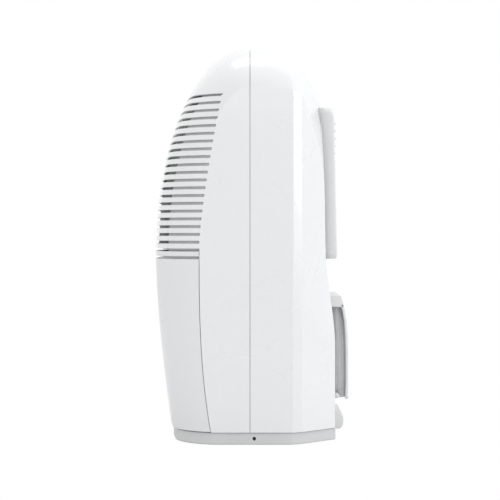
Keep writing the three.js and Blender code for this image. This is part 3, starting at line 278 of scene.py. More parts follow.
def outline(u, inset):
    """The shape of a column's side view, set in by the inset."""
    x, crown, corner = weights(u)
    return {
        "x": x * (half_width - inset) / half_width,
        "reach": front_reach - 0.008 * crown - 0.0555 * corner - inset,
        "rise": front_rise - 0.016 * crown - 0.050 * corner - inset,
        "power": mix(2.0, 2.3, corner),
        "undercut": mix(0.0215, 0.015, corner),
        "late": mix(1.6, 2.7, corner),
    }


def front_y(o, z, seam=seam_y):
    """Depth of a column's skin at a height."""
    if z <= bulge_z:
        share = (bulge_z - z) / (bulge_z - shell_foot)
        return seam - o["reach"] + o["undercut"] * max(0.0, share) ** o["late"]
    up = min(1.0, (z - bulge_z) / o["rise"])
    return seam - o["reach"] * (1 - up ** o["power"]) ** (1 / o["power"])


def front_point(u, z, inset=0.0, seam=front_edge):
    """A point of the front skin at a height; u from 2 to 3 runs along the flat side to the seam."""
    o = outline(min(u, 2.0), inset)
    y = front_y(o, z, seam)
    return Vector((o["x"], mix(y, seam, max(0.0, u - 2.0)), z))


def column_at(y, z):
    """The column whose point at that height stands at that depth."""
    low, high = 0.0, 3.0
    for _ in range(40):
        middle = (low + high) / 2
        if front_point(middle, z).y < y:
            low = middle
        else:
            high = middle
    return low


def slot_end_y(z):
    """Depth at which a louvre slot ends: further back the lower it is."""
    lean = max(0.0, (z - tank_top) / (louvre_top - tank_top))
    return front_y(outline(2.0, 0.0), tank_top) + 0.030 * lean**1.4


def mesh_object(name, points, faces, material):
    """An object from points and faces, merged, with its shallow creases kept sharp."""
    mesh = bpy.data.meshes.new(name)
    mesh.from_pydata([tuple(p) for p in points], [], faces)
    made = bmesh.new()
    made.from_mesh(mesh)
    bmesh.ops.remove_doubles(made, verts=made.verts, dist=1e-6)
    bmesh.ops.dissolve_degenerate(made, edges=made.edges, dist=1e-6)
    for crease in made.edges:
        turn = math.degrees(crease.calc_face_angle(0.0))
        crease.smooth = not 9.0 < turn < 35.0
    made.to_mesh(mesh)
    made.free()
    mesh.materials.append(material)
    for face in mesh.polygons:
        face.use_smooth = True
    return linked(name, mesh)


def both_sides(half, keep=lambda r, c: True):
    """Points and faces of a grid of half rows and its mirror image, kept where keep(r, c) says."""
    points, faces = [], []
    rows, columns = len(half), len(half[0])
    for side in (1, -1):
        start = len(points)
        for row in half:
            points += [(side * p[0], p[1], p[2]) for p in row]
        for r in range(rows - 1):
            for c in range(columns - 1):
                if keep(r, c):
                    a = start + r * columns + c
                    quad = (a, a + 1, a + columns + 1, a + columns)
                    faces.append(quad if side == 1 else quad[::-1])
    return points, faces


def modifier(piece, kind, **settings):
    """A new modifier on the piece, with its settings made."""
    made = piece.modifiers.new(kind.lower(), kind)
    for key, value in settings.items():
        setattr(made, key, value)
    return made


def applied(piece):
    """The same object with its modifiers turned into plain mesh."""
    graph = bpy.context.evaluated_depsgraph_get()
    mesh = bpy.data.meshes.new_from_object(piece.evaluated_get(graph))
    piece.modifiers.clear()
    piece.data = mesh
    return piece


def cut(piece, cutter):
    """Takes the cutter's shape out of the piece; the cutter is used up."""
    modifier(piece, "BOOLEAN", object=cutter, operation="DIFFERENCE", solver="EXACT")
    applied(piece)
    bpy.data.objects.remove(cutter)
    return piece


def rounded(piece, width, segments=2, angle=40.0):
    """Softened edges with flat faces left flat."""
    modifier(
        piece, "BEVEL", width=width, segments=segments, limit_method="ANGLE",
        angle_limit=math.radians(angle), harden_normals=False, use_clamp_overlap=True,
    )
    modifier(piece, "WEIGHTED_NORMAL", keep_sharp=True)
    return applied(piece)


band_columns, corner_columns, side_columns, round_columns = 22, 22, 12, 5
straight_columns = corner_columns - round_columns
low_rows, top_rows = 16, 22
end_radius = louvre_gap / 2
end_share = 0.03
slots_start = tank_top + louvre_gap
front_rows = [(mix(shell_foot, slots_start, i / low_rows), 0) for i in range(low_rows + 1)]
slot_rows = set()
for i in reversed(range(louvre_count)):
    centre = louvre_top - i * louvre_pitch
    slot_rows.add(len(front_rows))
    front_rows += [(centre, -1), (centre, 1)]
front_rows.append((slots_end, 0))


def corner_place(i, end):
    """Where corner column i stands in a row with slots ending there, and the slot's openness."""
    if i < straight_columns:
        return mix(1.0, mix(end, 1.0, end_share), i / straight_columns), 1.0
    t = (i - straight_columns) / round_columns
    return end - (end - 1.0) * end_share * (1 - t), (1 - t**3) ** (1 / 3)


def front_row(z, edge):
    """Half a level row of the skin; edge is -1 or 1 on the lower or upper edge of a slot."""
    level = min(z, louvre_top)
    end = column_at(slot_end_y(max(level, tank_top)), level)
    if z < tank_top + louvre_gap * 1.01:
        end = column_at(front_y(outline(2.0, 0.0), z) + tank_part, z)
    row = [front_point(i / band_columns, z + edge * end_radius) for i in range(band_columns)]
    for i in range(corner_columns):
        u, openness = corner_place(i, end)
        row.append(front_point(u, z + edge * end_radius * openness))
    row += [front_point(mix(end, 3.0, i / side_columns), z) for i in range(side_columns + 1)]
    return row


half = [front_row(*r) for r in front_rows]
last_end = column_at(slot_end_y(louvre_top), louvre_top)
columns = [i / band_columns for i in range(band_columns)]
columns += [corner_place(i, last_end)[0] for i in range(corner_columns)]
columns += [mix(last_end, 3.0, i / side_columns) for i in range(side_columns + 1)]
for k in range(1, top_rows + 1):
    row = []
    for u in columns:
        o = outline(min(u, 2.0), 0.0)
        start = math.asin(min(1.0, (slots_end - bulge_z) / o["rise"]) ** (o["power"] / 2))
        angle = mix(start, math.pi / 2, k / top_rows)
        y = front_edge - o["reach"] * max(0.0, math.cos(angle)) ** (2 / o["power"])
        z = bulge_z + o["rise"] * math.sin(angle) ** (2 / o["power"])
        row.append(Vector((o["x"], mix(y, front_edge, max(0.0, u - 2.0)), z)))
    half.append(row)
first_side = band_columns + corner_columns


def front_kept(r, c):
    """Whether that face is there: the tank's opening and the slots are left out."""
    return c >= first_side or (r >= low_rows and r not in slot_rows)


front_shell = mesh_object("front_shell_skin", *both_sides(half, front_kept), white_plastic)
modifier(front_shell, "SOLIDIFY", thickness=wall, offset=-1.0, use_even_offset=True)
applied(front_shell)

# the control recess is a rounded tray let into the slope above the louvres
fascia_y = -0.052
fascia_z = bulge_z + front_rise * math.sqrt(1 - ((fascia_y - seam_y) / front_reach) ** 2)
fascia_slope = math.atan2(
    front_rise**2 * (seam_y - fascia_y), front_reach**2 * (fascia_z - bulge_z)
)
on_fascia = Matrix.Translation((0, fascia_y, fascia_z)) @ Matrix.Rotation(fascia_slope, 4, "X")


def rounded_loop(half_x, half_y, radius, z, steps=8):
    """A level loop round a rectangle with round corners."""
    loop = []
    for turn, (sx, sy) in enumerate(((1, 1), (-1, 1), (-1, -1), (1, -1))):
        for i in range(steps + 1):
            a = math.pi / 2 * (turn + i / steps)
            loop.append((
                sx * (half_x - radius) + radius * math.cos(a),
                sy * (half_y - radius) + radius * math.sin(a),
                z,
            ))
    return loop


def lofted(name, loops, material, place=None, closed=False):
    """A skin through loops of points, capped at both ends, or joined end to end if closed."""
    points = [Vector(p) for loop in loops for p in loop]
    if place is not None:
        points = [place @ p for p in points]
    n = len(loops[0])
    count = len(loops)
    faces = []
    for r in range(count if closed else count - 1):
        for c in range(n):
            a, b = r * n + c, r * n + (c + 1) % n
            s = ((r + 1) % count - r) * n
            faces.append((a, b, b + s, a + s))
    if not closed:
        faces.append(tuple(reversed(range(n))))
        faces.append(tuple(range((count - 1) * n, count * n)))
    return mesh_object(name, points, faces, material)


def slab(name, outlines, material, place=None, steps=8):
    """A piece through level outlines, each a (half length, half width, corner, height)."""
    loops = [rounded_loop(*sizes, steps) for sizes in outlines]
    return lofted(name, loops, material, place)


recess = (0.0542, 0.0202, 0.0122)
recess_floor = -0.0114
recess_ends = [(*recess, recess_floor), (*recess, 0.02)]
cut(front_shell, slab("recess cutter", recess_ends, white_plastic, on_fascia))
rounded(front_shell, 0.00025)
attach(front_shell, "housing")
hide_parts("front_shell")

# ------------------------------------------------------------------ air duct cheeks and floor
# Light grey moulded linings just behind the corner louvres, which steer the dried air out of the
# front, and the floor of the duct over the tank, with a vane up its middle that splits the
# stream. Moulded polypropylene, clipped to ribs inside the front shell.
liner_plastic = finish(
    "liner plastic", (0.60, 0.605, 0.61), (0.55, 0.555, 0.56), (0.5, 0.65), 1500.0, 0.00006
)


def fitted(piece, *nodes):
    """Hands a finished piece to the body of the model parts it stands for, and hides those parts.
    """
    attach(piece, frame["nodes"][nodes[0]]["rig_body"])
    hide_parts(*nodes)
    return piece


def softened(node, width, material, segments=2):
    """The model part's own shape with its facets merged, its edges rounded and its own finish."""
    mesh = frame["nodes"][node].data.copy()
    mesh.materials.clear()
    mesh.materials.append(material)
    made = bmesh.new()
    made.from_mesh(mesh)
    bmesh.ops.remove_doubles(made, verts=made.verts, dist=1e-6)
    bmesh.ops.dissolve_limit(
        made, angle_limit=math.radians(0.5), verts=made.verts, edges=made.edges
    )
    for side in made.faces:
        side.smooth = True
        side.material_index = 0
    for corner in made.edges:
        corner.smooth = True
    made.to_mesh(mesh)
    made.free()
    if "custom_normal" in mesh.attributes:
        mesh.attributes.remove(mesh.attributes["custom_normal"])
    return rounded(linked(node + "_body", mesh), width, segments, 30.0)


def carried(node, width, material, segments=2):
    """A softened piece handed straight to the model part it came from."""
    return fitted(softened(node, width, material, segments), node)


def grid_faces(rows, columns):
    """Faces of a grid whose points run row by row, with one more point than faces each way."""
    wide = columns + 1
    starts = (r * wide + c for r in range(rows) for c in range(columns))
    return [(a, a + 1, a + wide + 1, a + wide) for a in starts]


duct_inset = wall + 0.0009
cheek_rows, cheek_columns = 30, 16
for name, side in (("duct_cheek_left", 1), ("duct_cheek_right", -1)):
    points = []
    for r in range(cheek_rows + 1):
        z = mix(tank_top + 0.0006, slots_end, r / cheek_rows)
        behind = column_at(min(-0.012, slot_end_y(max(z, tank_top)) + 0.008), z)
        for c in range(cheek_columns + 1):
            p = front_point(mix(1.30, behind, c / cheek_columns), z, duct_inset)
            points.append((side * p.x, p.y, p.z))
    faces = [face[::side] for face in grid_faces(cheek_rows, cheek_columns)]
    cheek = mesh_object(name + "_lining", points, faces, liner_plastic)
    modifier(cheek, "SOLIDIFY", thickness=0.0016, offset=-1.0, use_even_offset=True)
    fitted(applied(cheek), name)
duct_floor = softened("duct_floor", 0.0004, liner_plastic)
vane_deep, vane_half, vane_steps = 0.024, 0.0008, 24
vane_low, vane_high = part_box("duct_floor")[1].z - 0.0004, louvre_top + 0.003
vane_edge = []
for i in range(vane_steps + 1):
    z = mix(vane_low, vane_high, i / vane_steps)
    vane_edge.append((front_point(0.0, z, duct_inset).y, z))
vane_edge += [(y + vane_deep, z) for y, z in reversed(vane_edge)]
vane = lofted(
    "vane", [[(x, y, z) for y, z in vane_edge] for x in (vane_half, -vane_half)], liner_plastic
)


def joined(name, pieces):
    """One object from several, each already in its place."""
    made = bmesh.new()
    for piece in pieces:
        made.from_mesh(piece.data)
    mesh = bpy.data.meshes.new(name)
    made.to_mesh(mesh)
    made.free()
    for material in pieces[0].data.materials:
        mesh.materials.append(material)
    for piece in pieces:
        bpy.data.objects.remove(piece)
    return linked(name, mesh)


fitted(joined("duct_floor_body", [duct_floor, vane]), "duct_floor")

# ------------------------------------------------------------------ control panel
# A pale grey plate sunk in the slope above the louvres, held by clips from behind, with a raised
# ring of setting ticks moulded round the humidity dial's place.
trim_plastic = finish(
    "trim plastic", (0.70, 0.705, 0.71), (0.67, 0.675, 0.68), (0.38, 0.5), 1600.0, 0.00007
)


def new_tree(name, sockets):
    """An empty Geometry Nodes tree with named inputs: (the tree, its inputs, its last node)."""
    tree = bpy.data.node_groups.new(name, "GeometryNodeTree")
    tree.interface.new_socket("Geometry", in_out="INPUT", socket_type="NodeSocketGeometry")
    for label, kind, value in sockets:
        socket = tree.interface.new_socket(
            label, in_out="INPUT", socket_type="NodeSocket" + kind
        )
        if value is not None:
            socket.default_value = value
    tree.interface.new_socket("Geometry", in_out="OUTPUT", socket_type="NodeSocketGeometry")
    return tree, tree.nodes.new("NodeGroupInput").outputs, tree.nodes.new("NodeGroupOutput")


def finish_tree(tree, shape, finish_socket, last):
    """Ends a tree: copies made real, then dressed."""
    real = add(tree, "GeometryNodeRealizeInstances", Geometry=shape)
    dressed = add(
        tree, "GeometryNodeSetMaterial", Geometry=real.outputs["Geometry"], Material=finish_socket
    )
    tree.links.new(dressed.outputs["Geometry"], last.inputs["Geometry"])


def grown(name, tree, start, edges=(), **sizes):
    """Plain mesh object grown by a tree from starting points, with the tree's sizes set."""
    mesh = bpy.data.meshes.new(name)
    mesh.from_pydata([tuple(p) for p in start], list(edges), [])
    piece = linked(name, mesh)
    grower = piece.modifiers.new("grower", "NODES")
    grower.node_group = tree
    for item in tree.interface.items_tree:
        if item.in_out == "INPUT" and item.name in sizes:
            grower[item.identifier] = sizes[item.name]
    return applied(piece)


bars, given, last = new_tree("row of bars", (
    ("Count", "Int", 10),
    ("First", "Vector", (0.0, 0.0, 0.0)),
    ("Step", "Vector", (0.0, 0.0, 0.01)),
    ("Length", "Float", 0.1),
    ("Width", "Float", 0.004),
    ("Thickness", "Float", 0.002),
    ("Corner", "Float", 0.0005),
    ("Turn", "Vector", (0.0, 0.0, 0.0)),
    ("Finish", "Material", None),
))
places = add(
    bars, "GeometryNodeMeshLine", Count=given["Count"], Start_Location=given["First"],
    Offset=given["Step"],
)
tip = add(bars, "ShaderNodeCombineXYZ", X=given["Length"])
spine = add(bars, "GeometryNodeCurvePrimitiveLine", End=tip.outputs["Vector"])
section = add(
    bars, "GeometryNodeCurvePrimitiveQuadrilateral", Width=given["Width"],
    Height=given["Thickness"],
)
round_section = add(
    bars, "GeometryNodeFilletCurve", Curve=section.outputs["Curve"], Radius=given["Corner"]
)
bar = add(
    bars, "GeometryNodeCurveToMesh", Curve=spine.outputs["Curve"],
    Profile_Curve=round_section.outputs["Curve"], Fill_Caps=True,
)
copies = add(
    bars, "GeometryNodeInstanceOnPoints", Points=places.outputs["Mesh"],
    Instance=bar.outputs["Mesh"], Rotation=given["Turn"],
)
finish_tree(bars, copies.outputs["Instances"], given["Finish"], last)

ring, given, last = new_tree("ring of parts", (
    ("Count", "Int", 12),
    ("Arc", "Float", 2 * math.pi),
    ("Start Angle", "Float", 0.0),
    ("Part", "Object", None),
    ("Finish", "Material", None),
))
places = add(ring, "GeometryNodeMeshLine", Count=given["Count"], Offset=(0.0, 0.0, 0.0))
step = computed(ring, "DIVIDE", given["Arc"], given["Count"])
index = ring.nodes.new("GeometryNodeInputIndex").outputs["Index"]
angle = computed(ring, "MULTIPLY_ADD", index, step, given["Start Angle"])
about = add(ring, "ShaderNodeCombineXYZ", Z=angle)
part = add(ring, "GeometryNodeObjectInfo", Object=given["Part"])
copies = add(
    ring, "GeometryNodeInstanceOnPoints", Points=places.outputs["Mesh"],
    Instance=part.outputs["Geometry"], Rotation=about.outputs["Vector"],
)
finish_tree(ring, copies.outputs["Instances"], given["Finish"], last)

spots, given, last = new_tree("part at each point", (
    ("Part", "Object", None),
    ("Turn", "Vector", (0.0, 0.0, 0.0)),
    ("Spin", "Float", math.pi),
    ("Seed", "Int", 3),
    ("Finish", "Material", None),
))
places = add(spots, "GeometryNodeMeshToPoints", Mesh=given["Geometry"])
part = add(spots, "GeometryNodeObjectInfo", Object=given["Part"])
chance = spots.nodes.new("FunctionNodeRandomValue")
spots.links.new(given["Spin"], chance.inputs[3])
spots.links.new(given["Seed"], chance.inputs["Seed"])
about = add(spots, "ShaderNodeCombineXYZ", Z=chance.outputs[1])
copies = add(
    spots, "GeometryNodeInstanceOnPoints", Points=places.outputs["Points"],
    Instance=part.outputs["Geometry"], Rotation=given["Turn"],
)
spun = add(
    spots, "GeometryNodeRotateInstances", Instances=copies.outputs["Instances"],
    Rotation=about.outputs["Vector"],
)
finish_tree(spots, spun.outputs["Instances"], given["Finish"], last)
origin = [(0.0, 0.0, 0.0)]
upright = (0.0, -math.pi / 2, 0.0)


def bar_row(name, material, first, length, section, count=1, step=(0, 0, 0), turn=upright):
    """A row of bars with a section of (width, thickness, corner); unturned, they run along X."""
    width, thickness, corner = section
    return grown(
        name, bars, origin, Count=count, First=first, Step=step, Length=length, Width=width,
        Thickness=thickness, Corner=corner, Turn=turn, Finish=material,
    )


def ringed(name, part, count, material, start=0.0, arc=2 * math.pi):
    """One object of copies of a part round the Z axis; the part itself is used up."""
    sizes = {"Count": count, "Arc": arc, "Start Angle": start, "Part": part, "Finish": material}
    copies = grown(name, ring, origin, **sizes)
    bpy.data.objects.remove(part)
    return copies


def placed(name, part, places, material, turn=(0.0, 0.0, 0.0), spin=0.0):
    """One object of copies of a part, one at each place; the part itself is used up."""
    copies = grown(name, spots, places, Part=part, Turn=turn, Spin=spin, Finish=material)
    bpy.data.objects.remove(part)
    return copies


def turned(name, profile, material, segments=48, place=None, closed=False):
    """A round piece from a profile of (radius, height), capped at its ends unless closed."""
    loops = [
        [
            (r * math.cos(2 * math.pi * i / segments), r * math.sin(2 * math.pi * i / segments), z)
            for i in range(segments)
        ]
        for r, z in profile
    ]
    return lofted(name, loops, material, place, closed)


def moved(piece, place):
    """The same piece with its points moved and turned to a place."""
    piece.data.transform(place)
    return piece


def across(x, y, z):
    """A place whose own Z axis runs from side to side of the machine."""
    return Matrix.Translation((x, y, z)) @ Matrix.Rotation(math.pi / 2, 4, "Y")


plate_low, plate_high = -0.0086, -0.0056
key_spots = (("power_button", 0.036), ("boost_button", -0.036))
lamp_spots = (("power_lamp", 0.036), ("tank_full_lamp", -0.036))
key_y, lamp_y = 0.004, -0.011
panel = slab("control_panel", [
    (0.0532, 0.0192, 0.0112, plate_low), (0.0536, 0.0196, 0.0116, plate_high - 0.0006),
    (0.0530, 0.0190, 0.0110, plate_high),
], trim_plastic)
spindle_hole, key_hole, lamp_hole = 0.004, 0.0064, 0.0018
panel_holes = [(0.0, 0.0, spindle_hole)]
panel_holes += [(x, key_y, key_hole) for _, x in key_spots]
panel_holes += [(x, lamp_y, lamp_hole) for _, x in lamp_spots]
for x, y, r in panel_holes:
    hole = turned("hole", [(r, -0.02), (r, 0.01)], trim_plastic, 40)
    cut(panel, moved(hole, Matrix.Translation((x, y, 0))))
rounded(panel, 0.0003)
tick_radius = 0.0183
tick = slab(
    "tick", [(0.0011, 0.0004, 0.0003, -0.0002), (0.0010, 0.0003, 0.0002, 0.0003)],
    trim_plastic, steps=2,
)
moved(tick, Matrix.Translation((tick_radius, 0.0, plate_high)))
ticks = ringed("ticks", tick, 11, trim_plastic, math.radians(-45), math.radians(297))
fitted(moved(joined("control_panel", [panel, ticks]), on_fascia), "control_fascia")

# ------------------------------------------------------------------ humidity dial
# A white turned knob with a ribbed rim and a sunk pointer line, pressed on a steel spindle that
# runs down into the humidistat.
dial_low = plate_high + 0.0005
dial_top = dial_low + 0.0065
dial = turned("humidity_knob", [
    (0.0036, dial_top - 0.0020), (0.0036, dial_low), (0.0155, dial_low),
    (0.0160, dial_low + 0.0006),
    (0.0152, dial_top - 0.0012), (0.0148, dial_top - 0.0004), (0.0138, dial_top),
    (0.0100, dial_top - 0.0002), (0.0005, dial_top - 0.0005),
], white_plastic, 72)
pointer_line, pointer_y = (0.0008, 0.0035, 0.0007), 0.0093
pointer_ends = [(*pointer_line, dial_top - 0.0012), (*pointer_line, dial_top + 0.004)]
pointer = slab("pointer", pointer_ends, white_plastic, steps=4)
cut(dial, moved(pointer, Matrix.Translation((0.0, pointer_y, 0.0))))
rounded(dial, 0.0002, 2, 50)
rib_section, rib_radius = (0.0005, 0.00035, 0.0002), 0.0154
rib_ends = [(*rib_section, dial_low + 0.0007), (*rib_section, dial_top - 0.0014)]
rib = slab("rib", rib_ends, white_plastic, steps=2)
moved(rib, Matrix.Translation((rib_radius, 0.0, 0.0)))
ribs = ringed("ribs", rib, 48, white_plastic)
fitted(moved(joined("humidity_knob", [dial, ribs]), on_fascia), "humidity_dial")
steel = finish(
    "bright steel", (0.55, 0.56, 0.57), (0.48, 0.49, 0.50), (0.28, 0.42), 900.0, 0.00002,
    Metallic=1.0,
)
spindle_low = -0.0189
spindle = turned("spindle", [
    (0.0001, spindle_low), (0.0026, spindle_low), (0.0030, spindle_low + 0.0004),
    (0.0030, dial_top - 0.0028), (0.0026, dial_top - 0.0024), (0.0001, dial_top - 0.0024),
], steel, 32, on_fascia)
fitted(spindle, "dial_spindle")

# ------------------------------------------------------------------ keys and lamps
# Two domed white keys that push switches on the board below, and two small green lenses pressed
# in under them. All four are separate mouldings in the panel's holes.
for node, x in key_spots:
    key = turned(node + "_key", [
        (0.0001, -0.0154), (0.0027, -0.0154), (0.0030, -0.0151), (0.0030, -0.0081),
        (0.0056, -0.0081), (0.0060, -0.0077), (0.0060, -0.0044), (0.0057, -0.0038),
        (0.0050, -0.0036), (0.0025, -0.0038), (0.0001, -0.0039),
    ], white_plastic, 48, on_fascia @ Matrix.Translation((x, key_y, 0)))
    fitted(key, node)
lens = finish(
    "green lens", (0.16, 0.55, 0.16), (0.12, 0.45, 0.14), (0.08, 0.16), 900.0, 0.00001,
    Emission_Color=(0.2, 0.9, 0.25, 1.0), Emission_Strength=0.15,
)
for node, x in lamp_spots:
    lamp = turned(node + "_lens", [
        (0.0001, -0.0113), (0.0013, -0.0113), (0.0015, -0.0110), (0.0015, -0.0060),
        (0.0012, -0.0055), (0.0007, -0.0053), (0.0001, -0.0052),
    ], lens, 24, on_fascia @ Matrix.Translation((x, lamp_y, 0)))
    fitted(lamp, node)

# ------------------------------------------------------------------ humidistat and control board
# Under the panel, a grey moulded humidistat body that the spindle turns, and a green glass-fibre
# board below it that carries a push switch for each key.
carried("humidistat", 0.0008, liner_plastic)
board = finish(
    "green board", (0.012, 0.11, 0.04), (0.02, 0.15, 0.05), (0.25, 0.4), 600.0, 0.00003
)
carried("control_board", 0.0003, board)

# ------------------------------------------------------------------ rear shell
# The white moulded back half: a crown that turns down into a bright sloping face, sides that
# turn in along a soft crease, and an upright lower back. Same glossy ABS as the front.
back_reach = 0.1125
stations = [
    ((-1.5, 532), (-1.5, 516), (-1.5, 466)),
    ((26, 531.7), (25, 516), (22, 466)),
    ((46, 530), (44, 514), (42, 465)),
    ((58.5, 526), (56, 509.5), (56, 463)),
    ((68, 516), (65, 500), (67, 456)),
    ((80, 493.5), (77.5, 479), (76, 435)),
    ((90, 470), (88.5, 457), (85, 407)),
    ((96, 450), (95, 439), (92.5, 382)),
    ((97.5, 410), (97, 404), (96.6, 354)),
    ((99, 340), (98.7, 330), (98.2, 300)),
    ((100.5, 245), (100.3, 243), (99.5, 240)),
    ((104, 208), (103.8, 208), (103, 208)),
    ((109.3, 170), (109.1, 170), (108.3, 170)),
    ((112.5, 133), (112.3, 133), (111.5, 133)),
    ((112.5, 19), (112.3, 19), (111.5, 19)),
]
steps_between = 5


def smooth_line(points):
    """Points along a curve through the stations, steps_between to each."""
    line = []
    for i in range(len(points) - 1):
        before = points[max(0, i - 1)]
        a, b = points[i], points[i + 1]
        after = points[min(len(points) - 1, i + 2)]
        if i == 0:
            before = (2 * a[0] - b[0], a[1])
        if i == len(points) - 2:
            after = (b[0], 2 * b[1] - a[1])
            before = (a[0], 2 * a[1] - b[1])
        for k in range(steps_between):
            t = k / steps_between
            spans = ((before, a), (a, b), (b, after))
            chords = [max(1e-4, math.dist(p, q)) ** 0.5 for p, q in spans]
            point = []
            for j in range(2):
                m1 = chords[1] * (
                    (a[j] - before[j]) / chords[0]
                    - (b[j] - before[j]) / (chords[0] + chords[1])
                    + (b[j] - a[j]) / chords[1]
                )
                m2 = chords[1] * (
                    (b[j] - a[j]) / chords[1]
                    - (after[j] - a[j]) / (chords[1] + chords[2])
                    + (after[j] - b[j]) / chords[2]
                )
                point.append(
                    (2 * a[j] - 2 * b[j] + m1 + m2) * t**3
                    + (-3 * a[j] + 3 * b[j] - 2 * m1 - m2) * t**2
                    + m1 * t
                    + a[j]
                )
            line.append((point[0] / 1000, point[1] / 1000))
    line.append((points[-1][0] / 1000, points[-1][1] / 1000))
    return line


back_lines = [smooth_line([s[k] for s in stations]) for k in range(3)]
turn_y = 0.060
turn_soft = 0.006
back_half = 0.112
back_upright = [(y / 1000, z / 1000) for y, z in (s[0] for s in stations[7:])]


def back_y(z):
    """Depth of the upright back's middle at a height."""
    if z >= back_upright[0][1]:
        return back_upright[0][0]
    for (y0, z0), (y1, z1) in zip(back_upright, back_upright[1:]):
        if z >= z1:
            return mix(y1, y0, (z - z1) / (z0 - z1))
    return back_upright[-1][0]


def side_taper(y, z):
    """How much of the full width is left at that depth, behind the soft crease in the side."""
    past = y - turn_y
    if past <= -turn_soft:
        past = 0.0
    elif past < turn_soft:
        past = (past + turn_soft) / 2
    return 1 - min(1.0, past / (back_y(z) - turn_y)) * (1 - back_half / half_width)


rear_band, rear_corner = 18, 14
slope_corner = math.radians(52)
turn_reach = 0.009
flat_steps, turn_steps, fore_steps = 5, 12, 6
half = []
seam = seam_y + seam_half
for r in range(len(back_lines[0])):
    p0, p1, p2 = (line[r] for line in back_lines)
    slope_end = mix(corner_end, slope_corner, min(1.0, max(0.0, p2[0]) / turn_y))
    row = []
    for i in range(rear_band + rear_corner + 1):
        u = i / rear_band if i <= rear_band else 1 + (i - rear_band) / rear_corner
        x, crown, corner = weights(u, slope_end)
        y = mix(mix(p0[0], p1[0], crown), p2[0], corner)
        z = mix(mix(p0[1], p1[1], crown), p2[1], corner)
        y = max(y, seam)
        row.append(Vector((x * side_taper(y, z), y, z)))
    edge = row[-1]
    share = r / (4 * steps_between)
    at_seam = edge.z
    if share < 1:
        at_seam = mix(back_lines[2][0][1], back_lines[2][4 * steps_between][1], share)
    marks = [edge.y, min(edge.y, turn_y + turn_reach), min(edge.y, turn_y - turn_reach), seam]
    for a, b, count in zip(marks, marks[1:], (flat_steps, turn_steps, fore_steps)):
        for i in range(1, count + 1):
            y = mix(a, b, i / count)
            along = (edge.y - y) / max(1e-6, edge.y - seam)
            z = mix(edge.z, at_seam, along)
            row.append(Vector((half_width * side_taper(y, z), y, z)))
    half.append(row)
points, faces = both_sides(half)
rear_shell = mesh_object("rear_shell_skin", points, faces, white_plastic)
outside = BVHTree.FromPolygons(
    [point.co for point in rear_shell.data.vertices],
    [tuple(face.vertices) for face in rear_shell.data.polygons],
)


def shell_back(x, z):
    """How far back the shell's outside stands at a place seen from behind."""
    return outside.ray_cast(Vector((x, 0.2, z)), Vector((0.0, -1.0, 0.0)))[0].y


modifier(rear_shell, "SOLIDIFY", thickness=wall, offset=-1.0, use_even_offset=True)
applied(rear_shell)
window_half, window_low, window_high = 0.088, 0.258, 0.432
cut(rear_shell, lofted("window cutter", [
    [
        (-window_half, y, window_low), (window_half, y, window_low),
        (window_half, y, window_high), (-window_half, y, window_high),
    ]
    for y in (0.07, 0.13)
], white_plastic))
screw_holes = [(-0.090, 0.222), (0.090, 0.222), (-0.098, 0.032), (0.098, 0.032)]
gland_x, gland_z = -0.096, 0.078
for x, z, r in [(x, z, 0.0038) for x, z in screw_holes] + [(gland_x, gland_z, 0.0073)]:
    hole = lofted("hole", [
        [
            (x + r * math.cos(math.pi * i / 16), y, z + r * math.sin(math.pi * i / 16))
            for i in range(32)
        ]
        for y in (0.13, 0.09)
    ], white_plastic)
    cut(rear_shell, hole)
rounded(rear_shell, 0.00025)
# a thin lip inside the seam, which locates the front shell and closes the joint
lip_fit, lip_thick = 0.0003, 0.0010
lip_loops = []
for y, inset in (
    (seam_y + 0.0050, wall - lip_fit), (seam_y + 0.0005, wall - lip_fit),
    (seam_y - 0.0002, wall + lip_fit), (seam_y - 0.0035, wall + lip_fit),
):
    loop = []
    for i in range(41):
        o = outline(2.0 * i / 40, inset)
        loop.append(Vector((o["x"], y, bulge_z + o["rise"])))
    for i in range(1, 13):
        loop.append(Vector((half_width - inset, y, mix(loop[40].z, shell_foot + 0.001, i / 12))))
    lip_loops.append(loop)
points, faces = both_sides(lip_loops[::-1])
lip = mesh_object("seam lip", points, faces, white_plastic)
modifier(lip, "SOLIDIFY", thickness=lip_thick, offset=-1.0, use_even_offset=True)
lipped = bmesh.new()
lipped.from_mesh(rear_shell.data)
lipped.from_mesh(applied(lip).data)
lipped.to_mesh(rear_shell.data)
lipped.free()
bpy.data.objects.remove(lip)
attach(rear_shell, "housing")
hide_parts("rear_shell")

# ------------------------------------------------------------------ base pan
# The grey foot of the machine, set in a little under both shells, with a raised deck inside and a
# hollow underside. Injection moulded polypropylene; two dark screws at the sides hold the shells.
base_plastic = finish(
    "base plastic", (0.60, 0.605, 0.61), (0.57, 0.575, 0.58), (0.4, 0.55), 1400.0, 0.00008
)
base_low, base_top, deck_top = 0.003, 0.0186, 0.023


def foot_loop(inset, z):
    """The machine's plan at its foot, set in by the inset, as one loop."""
    right = []
    for i in range(28):
        p = front_point(2.0 * i / 27, shell_foot, inset)
        right.append((p.x, p.y, z))
    for i in range(1, 5):
        right.append((half_width - inset, mix(right[27][1], turn_y - 0.010, i / 4), z))
    for i in range(1, 17):
        y = mix(turn_y - 0.010, back_reach + 0.003 - inset, i / 16)
        right.append((half_width * side_taper(y + 0.5 * inset, 0.03) - inset, y, z))
    x_end, y_end = right[-1][0], right[-1][1]
    right[-1] = (x_end + 0.0015, y_end - 0.0015, z)
    right += [(x_end - 0.003, y_end, z), (x_end / 2, y_end, z), (0.0, y_end, z)]
    return right + [(-x, y, z) for x, y, z in reversed(right[1:-1])]


